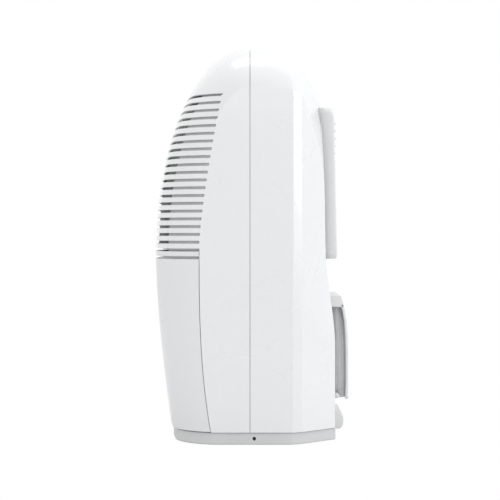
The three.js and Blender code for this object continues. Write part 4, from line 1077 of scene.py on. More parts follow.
base_pan = lofted("base_pan_body", [
    foot_loop(inset, z) for inset, z in (
        (0.0062, 0.0150), (0.0060, base_low), (0.0040, base_low), (0.0033, base_low + 0.0004),
        (0.0030, base_low + 0.0012), (0.0030, base_top - 0.0006), (0.0034, base_top),
        (0.0050, base_top), (0.0053, base_top + 0.0006), (0.0053, deck_top - 0.0006),
        (0.0059, deck_top),
    )
], base_plastic)
foot_places = [(0.105, -0.072, 0), (-0.105, -0.072, 0), (0.088, 0.092, 0), (-0.088, 0.092, 0)]
boss = turned("boss", [
    (0.0130, 0.0155), (0.0130, 0.0040), (0.0126, 0.0036), (0.0106, 0.0036), (0.0103, 0.0040),
    (0.0103, 0.0049), (0.0001, 0.0049), (0.0001, 0.0155),
], base_plastic, 40)
bosses = placed("bosses", boss, foot_places, base_plastic)
screw_y, screw_z = 0.004, 0.0108
for side in (-1, 1):
    hole = turned("hole", [(0.0027, -0.006), (0.0027, 0.006)], base_plastic, 32)
    cut(base_pan, moved(hole, across(side * (half_width - 0.006), screw_y, screw_z)))
modifier(base_pan, "WEIGHTED_NORMAL", keep_sharp=True)
fitted(joined("base_pan_body", [applied(base_pan), bosses]), "base_pan")

# ------------------------------------------------------------------ rubber feet
# Four black rubber discs pressed into bosses under the base, each with a grooved sole.
rubber = finish(
    "black rubber", (0.022, 0.022, 0.022), (0.05, 0.05, 0.048), (0.7, 0.9), 700.0, 0.0002, 0.5
)
foot = turned("foot", [
    (0.0001, 0.0), (0.0030, 0.0), (0.0034, 0.0005), (0.0046, 0.0005), (0.0050, 0.0),
    (0.0092, 0.0), (0.0099, 0.0006), (0.0100, 0.0014), (0.0100, 0.0040), (0.0096, 0.0046),
    (0.0001, 0.0046),
], rubber, 40)
feet = placed("rubber_feet", foot, foot_places, rubber)
fitted(feet, "foot_front_left", "foot_front_right", "foot_rear_left", "foot_rear_right")

# ------------------------------------------------------------------ screws
# Black pan-head screws with a cross recess low in both sides of the base, and four plain steel
# ones sunk in the back of the rear shell.
black_steel = finish(
    "black steel", (0.012, 0.012, 0.013), (0.05, 0.05, 0.05), (0.35, 0.55), 900.0, 0.00003,
    Metallic=0.6,
)


def screw(name, radius, shank, reach, material):
    """A pan-head screw whose head points along +Z, with a cross recess."""
    made = turned(name, [
        (0.0001, -reach), (0.5 * shank, -reach + shank), (shank, -reach + 2 * shank),
        (shank, -0.0012), (radius, -0.0012), (radius, -0.0004), (0.8 * radius, 0.0001),
        (0.4 * radius, 0.0004), (0.0001, 0.0005),
    ], material, 32)
    for turn in (0.0, math.pi / 2):
        slot = slab("slot", [
            (0.62 * radius, 0.14 * radius, 0.05 * radius, -0.0007),
            (0.66 * radius, 0.17 * radius, 0.05 * radius, 0.002),
        ], material, Matrix.Rotation(turn, 4, "Z"), 2)
        cut(made, slot)
    return made


for side, node in ((1, "base_screw_left"), (-1, "base_screw_right")):
    one = screw("screw", 0.0024, 0.0014, 0.0120, black_steel)
    moved(one, Matrix.Rotation(side * math.pi / 2, 4, "Y"))
    head = (side * (half_width - 0.0045), screw_y, screw_z)
    fitted(placed(node + "_part", one, [head], black_steel), node)
one = screw("screw", 0.0035, 0.0016, 0.0125, steel)
rear_places = [(x, back_y(z) - 0.0015, z) for x, z in screw_holes]
rear_screws = placed("rear_screws", one, rear_places, steel, (-math.pi / 2, 0.0, 0.0))
fitted(rear_screws, "rear_screw_1", "rear_screw_2", "rear_screw_3", "rear_screw_4")

# ------------------------------------------------------------------ rear grille
# A pale grey housing that stands proud of the rear slope, with two banks of level intake slats
# either side of a mullion and a slot in its top for the filter. It clips into the rear shell.
grille_half, grille_low, grille_high = 0.100, 0.243, 0.446
grille_middle = (grille_low + grille_high) / 2
grille_reach = (grille_high - grille_low) / 2


def grille_face(z):
    """How far back the housing's face stands at a height: it leans in towards the top."""
    marks = ((grille_low, 0.115), (0.373, 0.1143), (0.424, 0.1125), (grille_high, 0.1085))
    for (z0, y0), (z1, y1) in zip(marks, marks[1:]):
        if z <= z1:
            return mix(y0, y1, max(0.0, z - z0) / (z1 - z0))
    return marks[-1][1]


def grille_loop(shrink, behind, on_shell=False):
    """One loop of the housing: behind its face by so much, or sunk so much in the shell."""
    loop = []
    for x, z, _ in rounded_loop(grille_half - shrink, grille_reach - shrink, 0.013 - shrink, 0.0):
        z += grille_middle
        loop.append((x, (shell_back(x, z) if on_shell else grille_face(z)) - behind, z))
    return loop


housing = lofted("grille_housing", [
    grille_loop(0.0, 0.0004, True),
    grille_loop(0.0, 0.0022),
    grille_loop(0.0005, 0.0010),
    grille_loop(0.0013, 0.0003),
    grille_loop(0.0026, 0.0),
    grille_loop(0.0100, 0.0),
    grille_loop(0.0106, 0.0004),
    grille_loop(0.0110, 0.0012),
    grille_loop(0.0110, 0.0048),
    grille_loop(0.0024, 0.0058),
    grille_loop(0.0024, 0.0004, True),
], trim_plastic, closed=True)
slot_half, slot_front, slot_back = 0.0866, 0.1009, 0.1049
filter_slot = lofted("filter slot", [
    [
        (-slot_half, slot_front, z), (slot_half, slot_front, z), (slot_half, slot_back, z),
        (-slot_half, slot_back, z),
    ]
    for z in (0.439, 0.452)
], trim_plastic)
cut(housing, filter_slot)
slat_count, slat_y = 18, 0.1112
slat_step = (2 * (grille_reach - 0.0110)) / slat_count
slats = [housing]
for start in (-0.0895, 0.0025):
    slats.append(bar_row(
        "slats", trim_plastic, (start, slat_y, grille_low + 0.0110 + slat_step), 0.087,
        (0.0048, 0.0024, 0.0008), slat_count - 1, (0.0, 0.0, slat_step),
        (math.radians(-28), 0.0, 0.0),
    ))
slats.append(bar_row(
    "mullion", trim_plastic, (0.0, slat_y, grille_low + 0.0105), 2 * grille_reach - 0.021,
    (0.0056, 0.0046, 0.0008),
))
fitted(joined("grille_housing", slats), "rear_grille")

# ------------------------------------------------------------------ dust filter
# A thin grey frame with a centre bar and a pull tab, which slides down behind the grille, and a
# dark woven nylon net welded across it.
filter_y, filter_low, filter_high, filter_half = 0.1029, 0.2464, 0.443, 0.086
filter_middle, filter_reach = (filter_low + filter_high) / 2, (filter_high - filter_low) / 2


def filter_loop(shrink, y, radius):
    """A loop round the filter's frame, in from its edge by so much."""
    return [
        (x, y, z + filter_middle)
        for x, z, _ in rounded_loop(filter_half - shrink, filter_reach - shrink, radius, 0.0, 4)
    ]


filter_frame = lofted("filter_frame_body", [
    filter_loop(0.0, filter_y - 0.0011, 0.004), filter_loop(0.0, filter_y + 0.0011, 0.004),
    filter_loop(0.0005, filter_y + 0.0015, 0.0035), filter_loop(0.0066, filter_y + 0.0015, 0.003),
    filter_loop(0.0070, filter_y + 0.0011, 0.003), filter_loop(0.0070, filter_y - 0.0011, 0.003),
    filter_loop(0.0066, filter_y - 0.0015, 0.003), filter_loop(0.0005, filter_y - 0.0015, 0.0035),
], trim_plastic, closed=True)
tab = lofted("tab", [
    [(x, y, z + 0.4450) for x, z, _ in rounded_loop(0.016, 0.0036, 0.0025, 0.0, 4)]
    for y in (filter_y - 0.0014, filter_y + 0.0014)
], trim_plastic)
frame_bars = bar_row(
    "centre bars", trim_plastic, (0.0, filter_y - 0.0009, filter_low + 0.006),
    2 * filter_reach - 0.012, (0.0012, 0.005, 0.0004),
)
fitted(
    joined("filter_frame_body", [filter_frame, rounded(tab, 0.0006), frame_bars]), "filter_frame"
)
nylon = finish(
    "dark nylon", (0.03, 0.032, 0.035), (0.06, 0.062, 0.064), (0.5, 0.65), 900.0, 0.00005
)
net_pitch = 0.0026
net_half = filter_half - 0.0073
net_tall = 2 * (filter_reach - 0.0073)
net_low = filter_low + 0.0073
thread = (0.0005, 0.0005, 0.0001)
uprights = bar_row(
    "uprights", nylon, (-net_half + 0.001, filter_y + 0.0004, net_low), net_tall, thread,
    int(2 * net_half / net_pitch), (net_pitch, 0.0, 0.0),
)
levels = bar_row(
    "levels", nylon, (-net_half, filter_y + 0.0007, net_low + 0.001), 2 * net_half, thread,
    int(net_tall / net_pitch), (0.0, 0.0, net_pitch), (0.0, 0.0, 0.0),
)
fitted(joined("filter_net", [uprights, levels]), "filter_mesh")

# ------------------------------------------------------------------ cord tidy
# A pale grey block on the lower back for winding the lead: a hood above, a thin flange behind and
# a ribbed neck between them at each side. Moulded hollow and screwed on from inside.
tidy_half, tidy_top, tidy_hood, tidy_low = 0.080, 0.193, 0.178, 0.054
neck_half = tidy_half - 0.014
eye_y, eye_z, eye_r = 0.1255, 0.0435, 0.012
tidy_line = [
    (0.1210, tidy_top), (0.1228, 0.1875), (0.1250, tidy_hood + 0.002), (0.1272, 0.1690),
    (0.1290, 0.1590), (0.1303, 0.1400), (0.1309, 0.1150), (0.1310, 0.0900), (0.1309, 0.0700),
    (0.1303, tidy_low),
]


def tidy_y(z):
    """Depth of the tidy's rear face at a height."""
    for (y0, z0), (y1, z1) in zip(tidy_line, tidy_line[1:]):
        if z >= z1:
            return mix(y0, y1, min(1.0, max(0.0, (z0 - z) / (z0 - z1))))
    return tidy_line[-1][0]


def shell_y(z):
    """Depth of the rear shell's outside at a height, a hair proud so that the seat is closed."""
    return back_y(z) + 0.0002


def tidy_block(name, x0, x1, z0, z1, ahead, behind, steps=26):
    """A block between two x values whose front and back edges are functions of height."""
    levels = [mix(z0, z1, i / steps) for i in range(steps + 1)]
    edge = [(ahead(z), z) for z in levels] + [(behind(z), z) for z in reversed(levels)]
    loops = [[(x, y, z) for y, z in edge] for x in (x0, x1)]
    return lofted(name, loops, trim_plastic)


flange = 0.0034
hood = tidy_block("hood", -tidy_half, tidy_half, tidy_hood, tidy_top, tidy_y, shell_y, 6)
rounded(hood, 0.0006, 2)
back_plate = tidy_block(
    "back plate", -tidy_half, tidy_half, tidy_low, tidy_hood + 0.004, tidy_y,
    lambda z: tidy_y(z) - flange,
)
rounded(back_plate, 0.0009, 3)
neck = tidy_block(
    "neck", -neck_half, neck_half, tidy_low + 0.001, tidy_hood + 0.004,
    lambda z: tidy_y(z) - 0.001, shell_y,
)


def eye_cut(piece):
    """Cuts the round eye for the cord through a piece of the tidy."""
    eye = turned("eye", [(eye_r, -0.1), (eye_r, 0.1)], trim_plastic, 64)
    return cut(piece, moved(eye, across(0.0, eye_y, eye_z)))


eye_cut(neck)
eye_cut(back_plate)
tidy_parts = [hood, back_plate, neck]
for side in (-1, 1):
    for i, z_low in enumerate((0.066, 0.064, 0.062, 0.060)):
        tidy_parts.append(bar_row(
            "neck ribs", trim_plastic, (side * neck_half, 0.1155 + 0.0030 * i, z_low),
            tidy_hood - 0.002 - z_low - 0.012 * i, (0.0016, 0.0009, 0.0003),
        ))
    for y, z, r in ((0.1152, 0.0585, 0.0036), (0.1288, 0.0565, 0.0026)):
        lug = turned("lug", [
            (0.0001, -0.007), (r - 0.0005, -0.007), (r, -0.0065), (r, 0.0065),
            (r - 0.0005, 0.007), (0.0001, 0.007),
        ], trim_plastic, 32)
        tidy_parts.append(moved(lug, across(side * (tidy_half - 0.0072), y, z)))
fitted(joined("cord_tidy_body", tidy_parts), "cord_tidy")

# ------------------------------------------------------------------ lower cord hook
# The hook under the tidy that takes the bottom of the winding. With the tidy's foot it makes a
# round eye that the plug end passes through.
hook_line = [
    (0.1129, 0.0192), (0.1129, 0.0140), (0.1180, 0.0140), (0.1206, 0.0149), (0.1228, 0.0172),
    (0.1240, 0.0205), (0.1245, 0.0250), (0.1240, 0.0312), (0.1224, 0.0331), (0.1205, 0.0350),
    (0.1172, 0.0395), (0.1152, 0.0425), (0.1138, 0.0458), (0.1126, 0.0462), (0.1126, 0.0196),
]
hook = lofted(
    "cord_hook_body", [[(x, y, z) for y, z in hook_line] for x in (-tidy_half, tidy_half)],
    trim_plastic,
)
fitted(rounded(eye_cut(hook), 0.0010, 3), "cord_hook")

# ------------------------------------------------------------------ cord gland
# A grey grommet ring in the lower back where the mains lead comes out, with a flared mouth.
facing_back = Matrix.Rotation(-math.pi / 2, 4, "X")
gland_place = Matrix.Translation((gland_x, back_reach, gland_z)) @ facing_back
gland = turned("gland_ring", [
    (0.0070, -0.0085), (0.0070, 0.0004), (0.0096, 0.0004), (0.0100, 0.0008), (0.0100, 0.0018),
    (0.0094, 0.0026), (0.0050, 0.0029), (0.0040, 0.0024), (0.0035, 0.0012), (0.0035, -0.0085),
], trim_plastic, 40, gland_place, closed=True)
fitted(gland, "cord_gland")

# ------------------------------------------------------------------ tank front
# The lower front that pulls out with the tub behind it: the same skin as the shell above in a
# slightly greyer moulding, with a level bar at its top, a groove that carries on the louvres and
# a finger recess moulded in as a cup.
tank_plastic = finish(
    "tank plastic", (0.722, 0.730, 0.740), (0.712, 0.720, 0.728), (0.24, 0.36), 2400.0, 0.00004,
    Coat_Weight=0.2, Coat_Roughness=0.14,
)
tank_foot, tank_steps = 0.0199, 18
groove_low, groove_high, groove_deep, shelf_deep = 0.2437, 0.2475, 0.0065, 0.0095
tank_rows = [(mix(tank_foot, groove_low, i / tank_steps), 0.0) for i in range(tank_steps + 1)]
tank_rows += [
    (groove_low, groove_deep), (groove_high, groove_deep), (groove_high, 0.0),
    (mix(groove_high, tank_top, 0.5), 0.0), (tank_top, 0.0), (tank_top, shelf_deep),
]
half = []
for z, inset in tank_rows:
    end = column_at(front_y(outline(2.0, 0.0), z) - tank_part, z)
    row = [front_point(i / band_columns, z, inset) for i in range(band_columns)]
    for i in range(corner_columns + 1):
        row.append(front_point(mix(1.0, end, i / corner_columns), z, inset))
    half.append(row)
tank_front = mesh_object("tank_front_skin", *both_sides(half), tank_plastic)
modifier(tank_front, "SOLIDIFY", thickness=0.0026, offset=-1.0, use_even_offset=True)
applied(tank_front)
grip_half, grip_low, grip_high, grip_back = 0.058, 0.200, 0.2402, -0.111
grip_middle = (grip_low + grip_high) / 2
grip_reach = (grip_high - grip_low) / 2


def grip_loop(grow, depth, on_skin=False):
    """A loop round the finger recess, level in depth or lying on the tank's skin."""
    loop = []
    for x, z, _ in rounded_loop(grip_half + grow, grip_reach + grow, 0.012 + grow, 0.0):
        z += grip_middle
        skin = front_point(min(1.0, abs(x) / band_half), z, 0.0012).y
        loop.append((x, skin if on_skin else depth, z))
    return loop


cut(tank_front, lofted(
    "grip cutter", [grip_loop(0.0, -0.14)[::-1], grip_loop(0.0, -0.118)[::-1]], tank_plastic
))
rounded(tank_front, 0.0005)
cup = lofted("grip_cup", [
    grip_loop(0.0, grip_back),
    grip_loop(0.0, 0.0, True),
    grip_loop(0.0022, 0.0, True),
    grip_loop(0.0022, grip_back + 0.0022),
], tank_plastic)
rounded(cup, 0.0018, 3)
fitted(joined("tank_front_skin", [tank_front, cup]), "tank_front")

# ------------------------------------------------------------------ water tub
# A clear smoky-blue styrene tub clipped to the tank front, with drawn-in lower edges, rounded
# corners and a rolled rim, pierced at both sides for the carrying bail.
clear_styrene, nodes, links, shader = principled(
    "clear styrene", (0.80, 0.87, 0.90), 0.12, Transmission_Weight=0.82, IOR=1.5,
)
worked_over(
    nodes, links, shader, {"Rough Low": 0.06, "Rough High": 0.2, "Grain Size": 400.0}, 0.15, 0.0001
)
tub_low, tub_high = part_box("tank_tub")
tub_corner = 0.046


def tub_loop(inset, z):
    """The tub's plan: round front corners that follow the tank front, small rear ones."""
    x = tub_high.x - inset
    front, back = tub_low.y + inset, tub_high.y - inset
    cut_back = tub_corner - 0.6 * inset
    right = []
    for i in range(13):
        a = math.pi / 2 * i / 12
        right.append((x - cut_back * (1 - math.sin(a)), front + cut_back * (1 - math.cos(a)), z))
    small = max(0.001, 0.008 - inset)
    for i in range(7):
        a = math.pi / 2 * i / 6
        right.append((x - small * (1 - math.cos(a)), back - small * (1 - math.sin(a)), z))
    return right + [(-px, y, z) for px, y, z in reversed(right)]


tub_floor, tub_rim = tub_low.z, tub_high.z
tub = lofted("clear_tub", [
    tub_loop(inset, z) for inset, z in (
        (0.006, tub_floor), (0.0035, tub_floor + 0.0008), (0.002, tub_floor + 0.004),
        (0.002, tub_rim - 0.0046), (0.0004, tub_rim - 0.0036), (0.0, tub_rim - 0.003),
        (0.0, tub_rim - 0.001), (0.0008, tub_rim - 0.0002), (0.0018, tub_rim), (0.0036, tub_rim),
        (0.0044, tub_rim - 0.0008), (0.0044, tub_floor + 0.0058), (0.0060, tub_floor + 0.0030),
        (0.0085, tub_floor + 0.0024),
    )
], clear_styrene)
pivot_y, pivot_z = -0.052, 0.218
for side in (-1, 1):
    hole = turned("hole", [(0.0033, -0.01), (0.0033, 0.01)], clear_styrene, 24)
    cut(tub, moved(hole, across(side * (tub_high.x - 0.003), pivot_y, pivot_z)))
fitted(rounded(tub, 0.0002, 1, 50), "tank_tub")

# ------------------------------------------------------------------ carrying bail
# A pale grey moulded bail that folds back along the tub's rim on two pins pressed through its
# sides, so the full tub can be carried like a bucket.
carried("tank_handle", 0.0013, trim_plastic, 3)

# ------------------------------------------------------------------ float
# A white foam block on an arm, hung by a steel pin from a small bracket on the tub's back wall.
# It rises with the water and works the switch behind the bulkhead.
white_foam = finish(
    "white foam", (0.80, 0.80, 0.77), (0.72, 0.72, 0.69), (0.85, 0.95), 420.0, 0.0005, blotch=0.5
)
carried("float_arm", 0.0016, white_foam, 3)
carried("float_bracket", 0.0005, trim_plastic)
pin_low, pin_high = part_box("float_pin")
pin_middle, pin_half = (pin_low + pin_high) / 2, (pin_high.x - pin_low.x) / 2
pin = turned("hinge_pin", [
    (0.0001, -pin_half), (0.0014, -pin_half), (0.0018, 0.0004 - pin_half),
    (0.0018, pin_half - 0.0004), (0.0014, pin_half), (0.0001, pin_half),
], steel, 24, across(*pin_middle))
fitted(pin, "float_pin")

# ------------------------------------------------------------------ bulkhead and tank switch
# A grey moulded wall between the tub and the machinery, stiffened by upright ribs on its far
# side, with a black microswitch screwed to it where the float's magnet comes up.
bulkhead_low, bulkhead_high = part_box("bulkhead")
bulkhead_ribs = bar_row(
    "bulkhead ribs", liner_plastic,
    (-0.150, bulkhead_high.y + 0.0010, bulkhead_low.z + 0.006),
    bulkhead_high.z - bulkhead_low.z - 0.012, (0.0016, 0.0024, 0.0004), 7, (0.050, 0.0, 0.0),
)
bulkhead = softened("bulkhead", 0.0005, liner_plastic)
fitted(joined("bulkhead_wall", [bulkhead, bulkhead_ribs]), "bulkhead")
dark_plastic = finish(
    "dark plastic", (0.022, 0.023, 0.025), (0.045, 0.046, 0.048), (0.38, 0.55), 1300.0, 0.00006
)
carried("tank_switch", 0.0007, dark_plastic)

# ------------------------------------------------------------------ fan shroud
# The grey moulded plate that stands behind the louvres, with a bell-mouthed ring round the fan.
# Screwed to bosses in the front shell at its corners.
shroud_low, shroud_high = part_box("fan_shroud")
fan_low, fan_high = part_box("fan_impeller")
fan_z = (fan_low.z + fan_high.z) / 2
fan_y = (fan_low.y + fan_high.y) / 2
fan_radius = (fan_high.x - fan_low.x) / 2
ring_radius = fan_radius + 0.0031
shroud_x, shroud_t, corner_cut = shroud_high.x, 0.003, 0.032
shroud_corners = [
    (shroud_x, shroud_high.z - corner_cut), (shroud_x - 0.038, shroud_high.z),
    (0.038 - shroud_x, shroud_high.z), (-shroud_x, shroud_high.z - corner_cut),
    (-shroud_x, shroud_low.z), (shroud_x, shroud_low.z),
]
shroud_turns = sorted(
    [2 * math.pi * i / 96 for i in range(96)]
    + [math.atan2(z - fan_z, x) % (2 * math.pi) for x, z in shroud_corners]
)


def shroud_edge(angle, y, shrink=0.0):
    """The point of the plate's outline in a direction from the fan's centre."""
    reach = 1.0
    for (x0, z0), (x1, z1) in zip(shroud_corners, shroud_corners[1:] + shroud_corners[:1]):
        across, down = z1 - z0, x0 - x1
        towards = across * math.cos(angle) + down * math.sin(angle)
        if towards > 1e-9:
            reach = min(reach, (across * x0 + down * (z0 - fan_z)) / towards)
    reach -= shrink
    return (reach * math.cos(angle), y, fan_z + reach * math.sin(angle))


def shroud_ring(radius, y):
    """A circle round the fan with its points in line with those of the plate's edge."""
    return [(radius * math.cos(a), y, fan_z + radius * math.sin(a)) for a in shroud_turns]


plate_front, plate_back = shroud_high.y - shroud_t, shroud_high.y
shroud = lofted("fan_shroud_plate", [
    [shroud_edge(a, plate_front) for a in shroud_turns],
    [shroud_edge(a, plate_back - 0.0005) for a in shroud_turns],
    [shroud_edge(a, plate_back, 0.0006) for a in shroud_turns],
    shroud_ring(ring_radius + 0.0040, plate_back),
    shroud_ring(ring_radius + 0.0018, plate_back - 0.0006),
    shroud_ring(ring_radius + 0.0005, plate_back - 0.0020),
    shroud_ring(ring_radius, plate_back - 0.0042),
    shroud_ring(ring_radius, shroud_low.y + 0.0004),
    shroud_ring(ring_radius + 0.0004, shroud_low.y),
    shroud_ring(ring_radius + 0.0020, shroud_low.y),
    shroud_ring(ring_radius + 0.0024, shroud_low.y + 0.0004),
    shroud_ring(ring_radius + 0.0024, plate_front - 0.0016),
    shroud_ring(ring_radius + 0.0040, plate_front),
], liner_plastic, closed=True)
fitted(shroud, "fan_shroud")

# ------------------------------------------------------------------ fan impeller and shaft
# Five broad twisted blades round a hub, moulded in one in dark plastic and pressed on the
# motor's steel shaft.
hub_radius, hub_half, bore = 0.020, (fan_high.y - fan_low.y) / 2 - 0.0008, 0.0034
hub = turned("hub", [
    (bore, -hub_half), (0.0186, -hub_half), (hub_radius, 0.0012 - hub_half),
    (hub_radius, hub_half - 0.0030), (0.0186, hub_half - 0.0012), (0.0160, hub_half),
    (bore, hub_half),
], dark_plastic, 60, closed=True)
blade_rows, blade_columns = 14, 10
blade_points = []
for i in range(blade_rows + 1):
    t = i / blade_rows
    r = mix(hub_radius - 0.0010, fan_radius - 0.0010, t)
    pitch = math.radians(mix(38, 20, t))
    sweep = math.radians(mix(0, 16, t))
    chord = mix(0.024, 0.044, t**0.7) * (1 - 0.25 * max(0.0, t - 0.8) / 0.2)
    for j in range(blade_columns + 1):
        s = j / blade_columns - 0.5
        around = s * chord * math.cos(pitch) / r + sweep
        rise = s * chord * math.sin(pitch) + 0.0022 * (1 - 4 * s * s)
        blade_points.append((r * math.cos(around), r * math.sin(around), rise))
blade_faces = [face[::-1] for face in grid_faces(blade_rows, blade_columns)]
blade = mesh_object("blade", blade_points, blade_faces, dark_plastic)
modifier(blade, "SOLIDIFY", thickness=0.0018, offset=0.0, use_even_offset=True)
rounded(applied(blade), 0.0005)
blades = ringed("blades", blade, 5, dark_plastic)
at_fan = Matrix.Translation((0.0, fan_y, fan_z)) @ facing_back
fitted(moved(joined("fan_blades", [hub, blades]), at_fan), "fan_impeller")
shaft_low, shaft_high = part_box("motor_shaft")
at_shaft = Matrix.Translation((0.0, 0.0, fan_z)) @ facing_back
fitted(turned("motor_shaft_rod", [
    (0.0001, shaft_low.y), (0.0026, shaft_low.y), (0.0030, shaft_low.y + 0.0004),
    (0.0030, shaft_high.y - 0.0008), (0.0022, shaft_high.y), (0.0001, shaft_high.y),
], steel, 32, at_shaft), "motor_shaft")

# ------------------------------------------------------------------ fan motor and bracket
# A small induction motor: a stack of steel laminations between two pressed end bells, drawn
# together by four bolts and clamped in a pressed steel ring with four arms.
motor_low, motor_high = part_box("fan_motor")
stack_radius = (motor_high.x - motor_low.x) / 2
motor_profile = [
    (0.0034, motor_low.y + 0.0002), (0.0200, motor_low.y), (0.0238, motor_low.y + 0.0015),
    (0.0240, motor_low.y + 0.0078), (0.0320, motor_low.y + 0.0082),
]
sheet_count = 12
stack_front, stack_back = motor_low.y + 0.0085, motor_high.y - 0.0065
for i in range(sheet_count):
    a = mix(stack_front, stack_back, i / sheet_count)
    b = mix(stack_front, stack_back, (i + 0.7) / sheet_count)
    motor_profile += [(stack_radius - 0.0004, a), (stack_radius, a + 0.0002), (stack_radius, b)]
motor_profile += [
    (0.0320, motor_high.y - 0.0062), (0.0240, motor_high.y - 0.0058),
    (0.0236, motor_high.y - 0.0012), (0.0200, motor_high.y), (0.0034, motor_high.y - 0.0002),
]
motor = turned("motor_body", motor_profile, steel, 64, closed=True)
bolt = screw("bolt", 0.0022, 0.0012, 0.0060, steel)
moved(bolt, Matrix.Translation((0.0285, 0.0, motor_high.y - 0.0050)))
bolts = ringed("bolts", bolt, 4, steel, math.radians(20))
fitted(moved(joined("motor_body", [motor, bolts]), at_shaft), "fan_motor")
carried("motor_bracket", 0.0008, steel)

# ------------------------------------------------------------------ condenser and evaporator
# Two coils one behind the other: thin pressed aluminium fins, close together, on a copper tube
# that runs to and fro through them. The tube is expanded to grip the fins.
aluminium = finish(
    "fin aluminium", (0.72, 0.73, 0.74), (0.62, 0.63, 0.64), (0.28, 0.42), 700.0, 0.00003,
    Metallic=1.0,
)
copper = finish(
    "copper tube", (0.72, 0.36, 0.20), (0.55, 0.27, 0.15), (0.22, 0.42), 500.0, 0.00003,
    blotch=0.6, Metallic=1.0,
)
route, given, last = new_tree("tube along a route", (
    ("Radius", "Float", 0.003),
    ("Sides", "Int", 20),
    ("Finish", "Material", None),
))
way = add(route, "GeometryNodeMeshToCurve", Mesh=given["Geometry"])
round_wall = add(
    route, "GeometryNodeCurvePrimitiveCircle", Radius=given["Radius"], Resolution=given["Sides"]
)
pipe = add(
    route, "GeometryNodeCurveToMesh", Curve=way.outputs["Curve"],
    Profile_Curve=round_wall.outputs["Curve"], Fill_Caps=True,
)
smooth_pipe = add(route, "GeometryNodeSetShadeSmooth", Geometry=pipe.outputs["Mesh"])
finish_tree(route, smooth_pipe.outputs["Geometry"], given["Finish"], last)


def tube(name, points, radius, sides=20):
    """A copper tube along a line of points."""
    edges = [(i, i + 1) for i in range(len(points) - 1)]
    return grown(name, route, points, edges, Radius=radius, Sides=sides, Finish=copper)


coil_passes, pass_pitch, coil_tube = 6, 0.030, 0.0039
coil_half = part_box("condenser_fins")[1].x
tube_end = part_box("condenser_tube")[1].x
fin_pitch, fin_thin, fin_hole = 0.0020, 0.00022, coil_tube + 0.0003
for coil in ("condenser", "evaporator"):
    low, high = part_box(coil + "_fins")
    middle_y, deep = (low.y + high.y) / 2, (high.y - low.y) / 2
    first_pass = high.z - pass_pitch / 2
    fin = lofted("fin", [
        [(x, y, z) for y, z in (
            (middle_y - deep, low.z), (middle_y + deep, low.z),
            (middle_y + deep, high.z), (middle_y - deep, high.z),
        )]
        for x in (-fin_thin / 2, fin_thin / 2)
    ], aluminium)
    drills = []
    for i in range(coil_passes):
        drill = turned("drill", [(fin_hole, -0.01), (fin_hole, 0.01)], copper, 12)
        drills.append(moved(drill, across(0.0, middle_y, first_pass - i * pass_pitch)))
    cut(fin, joined("drills", drills))
    for side in fin.data.polygons:
        side.use_smooth = False
    count = int((2 * coil_half - 0.004) / fin_pitch) + 1
    start = -fin_pitch * (count - 1) / 2
    thick = fin.copy()
    thick.data = fin.data.copy()
    bpy.context.collection.objects.link(thick)
    moved(thick, Matrix.Diagonal((5.0, 1.0, 1.0, 1.0)))
    fin_places = [(start + i * fin_pitch, 0.0, 0.0) for i in range(count)]
    fins = placed("fins", fin, fin_places, aluminium)
    end_x = coil_half - 0.0006
    ends = placed("end plates", thick, [(end_x, 0, 0), (-end_x, 0, 0)], aluminium)
    fitted(joined(coil + "_fin_pack", [fins, ends]), coil + "_fins")
    line = []
    for i in range(coil_passes):
        z = first_pass - i * pass_pitch
        here = 1 if i % 2 == 0 else -1
        line.append((here * (tube_end if i == 0 else coil_half + 0.004), middle_y, z))
        if i == coil_passes - 1:
            line.append((tube_end, middle_y, z))
            continue
        for k in range(17):
            a = math.pi * k / 16
            line.append((
                -here * (coil_half + 0.004 + pass_pitch / 2 * math.sin(a)),
                middle_y,
                z - pass_pitch / 2 * (1 - math.cos(a)),
            ))
    fitted(tube(coil + "_tube_run", line, coil_tube), coil + "_tube")

# ------------------------------------------------------------------ drip tray
# A grey moulded tray under both coils, with a spout that carries the water over the bulkhead
# and lets it fall into the tub.
carried("drip_tray", 0.0006, liner_plastic)

# ------------------------------------------------------------------ compressor
# A black painted steel pot, its deep-drawn halves welded round the waist, on a plate that stands
# on four rubber grommets. A dark moulded cap covers the terminals.
black_paint = finish(
    "black paint", (0.012, 0.012, 0.013), (0.028, 0.028, 0.030), (0.26, 0.42), 380.0, 0.00012,
    wear=0.25,
)
pot_low, pot_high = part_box("compressor")
pot_y, pot_radius, pot_top = (pot_low.y + pot_high.y) / 2, 0.045, pot_high.z
pot = turned("compressor_pot", [
    (0.0001, pot_low.z), (0.0300, pot_low.z), (0.0370, pot_low.z + 0.0008),
    (0.0425, pot_low.z + 0.0042), (pot_radius, pot_low.z + 0.0100),
    (pot_radius, pot_low.z + 0.0690), (pot_radius + 0.0004, pot_low.z + 0.0700),
    (pot_radius + 0.0004, pot_low.z + 0.0715), (pot_radius, pot_low.z + 0.0725),
    (pot_radius - 0.0006, pot_low.z + 0.0740), (pot_radius - 0.0006, pot_top - 0.0190),
    (pot_radius - 0.0035, pot_top - 0.0120), (pot_radius - 0.0110, pot_top - 0.0060),
    (pot_radius - 0.0230, pot_top - 0.0015), (0.0001, pot_top - 0.0003),
], black_paint, 72, Matrix.Translation((0.0, pot_y, 0.0)))
plate_half_x, plate_half_y = pot_high.x, (pot_high.y - pot_low.y) / 2
plate_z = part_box("compressor_grommet_1")[1].z + 0.0004
mount = moved(slab("mount", [
    (plate_half_x, plate_half_y, 0.012, plate_z),
    (plate_half_x, plate_half_y, 0.012, plate_z + 0.0026),
    (plate_half_x - 0.0005, plate_half_y - 0.0005, 0.0115, plate_z + 0.0030),
], black_paint), Matrix.Translation((0.0, pot_y, 0.0)))
grommet_nodes = ["compressor_grommet_" + str(i) for i in range(1, 5)]
mount_places = [tuple((a + b) / 2 for a, b in zip(*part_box(node))) for node in grommet_nodes]
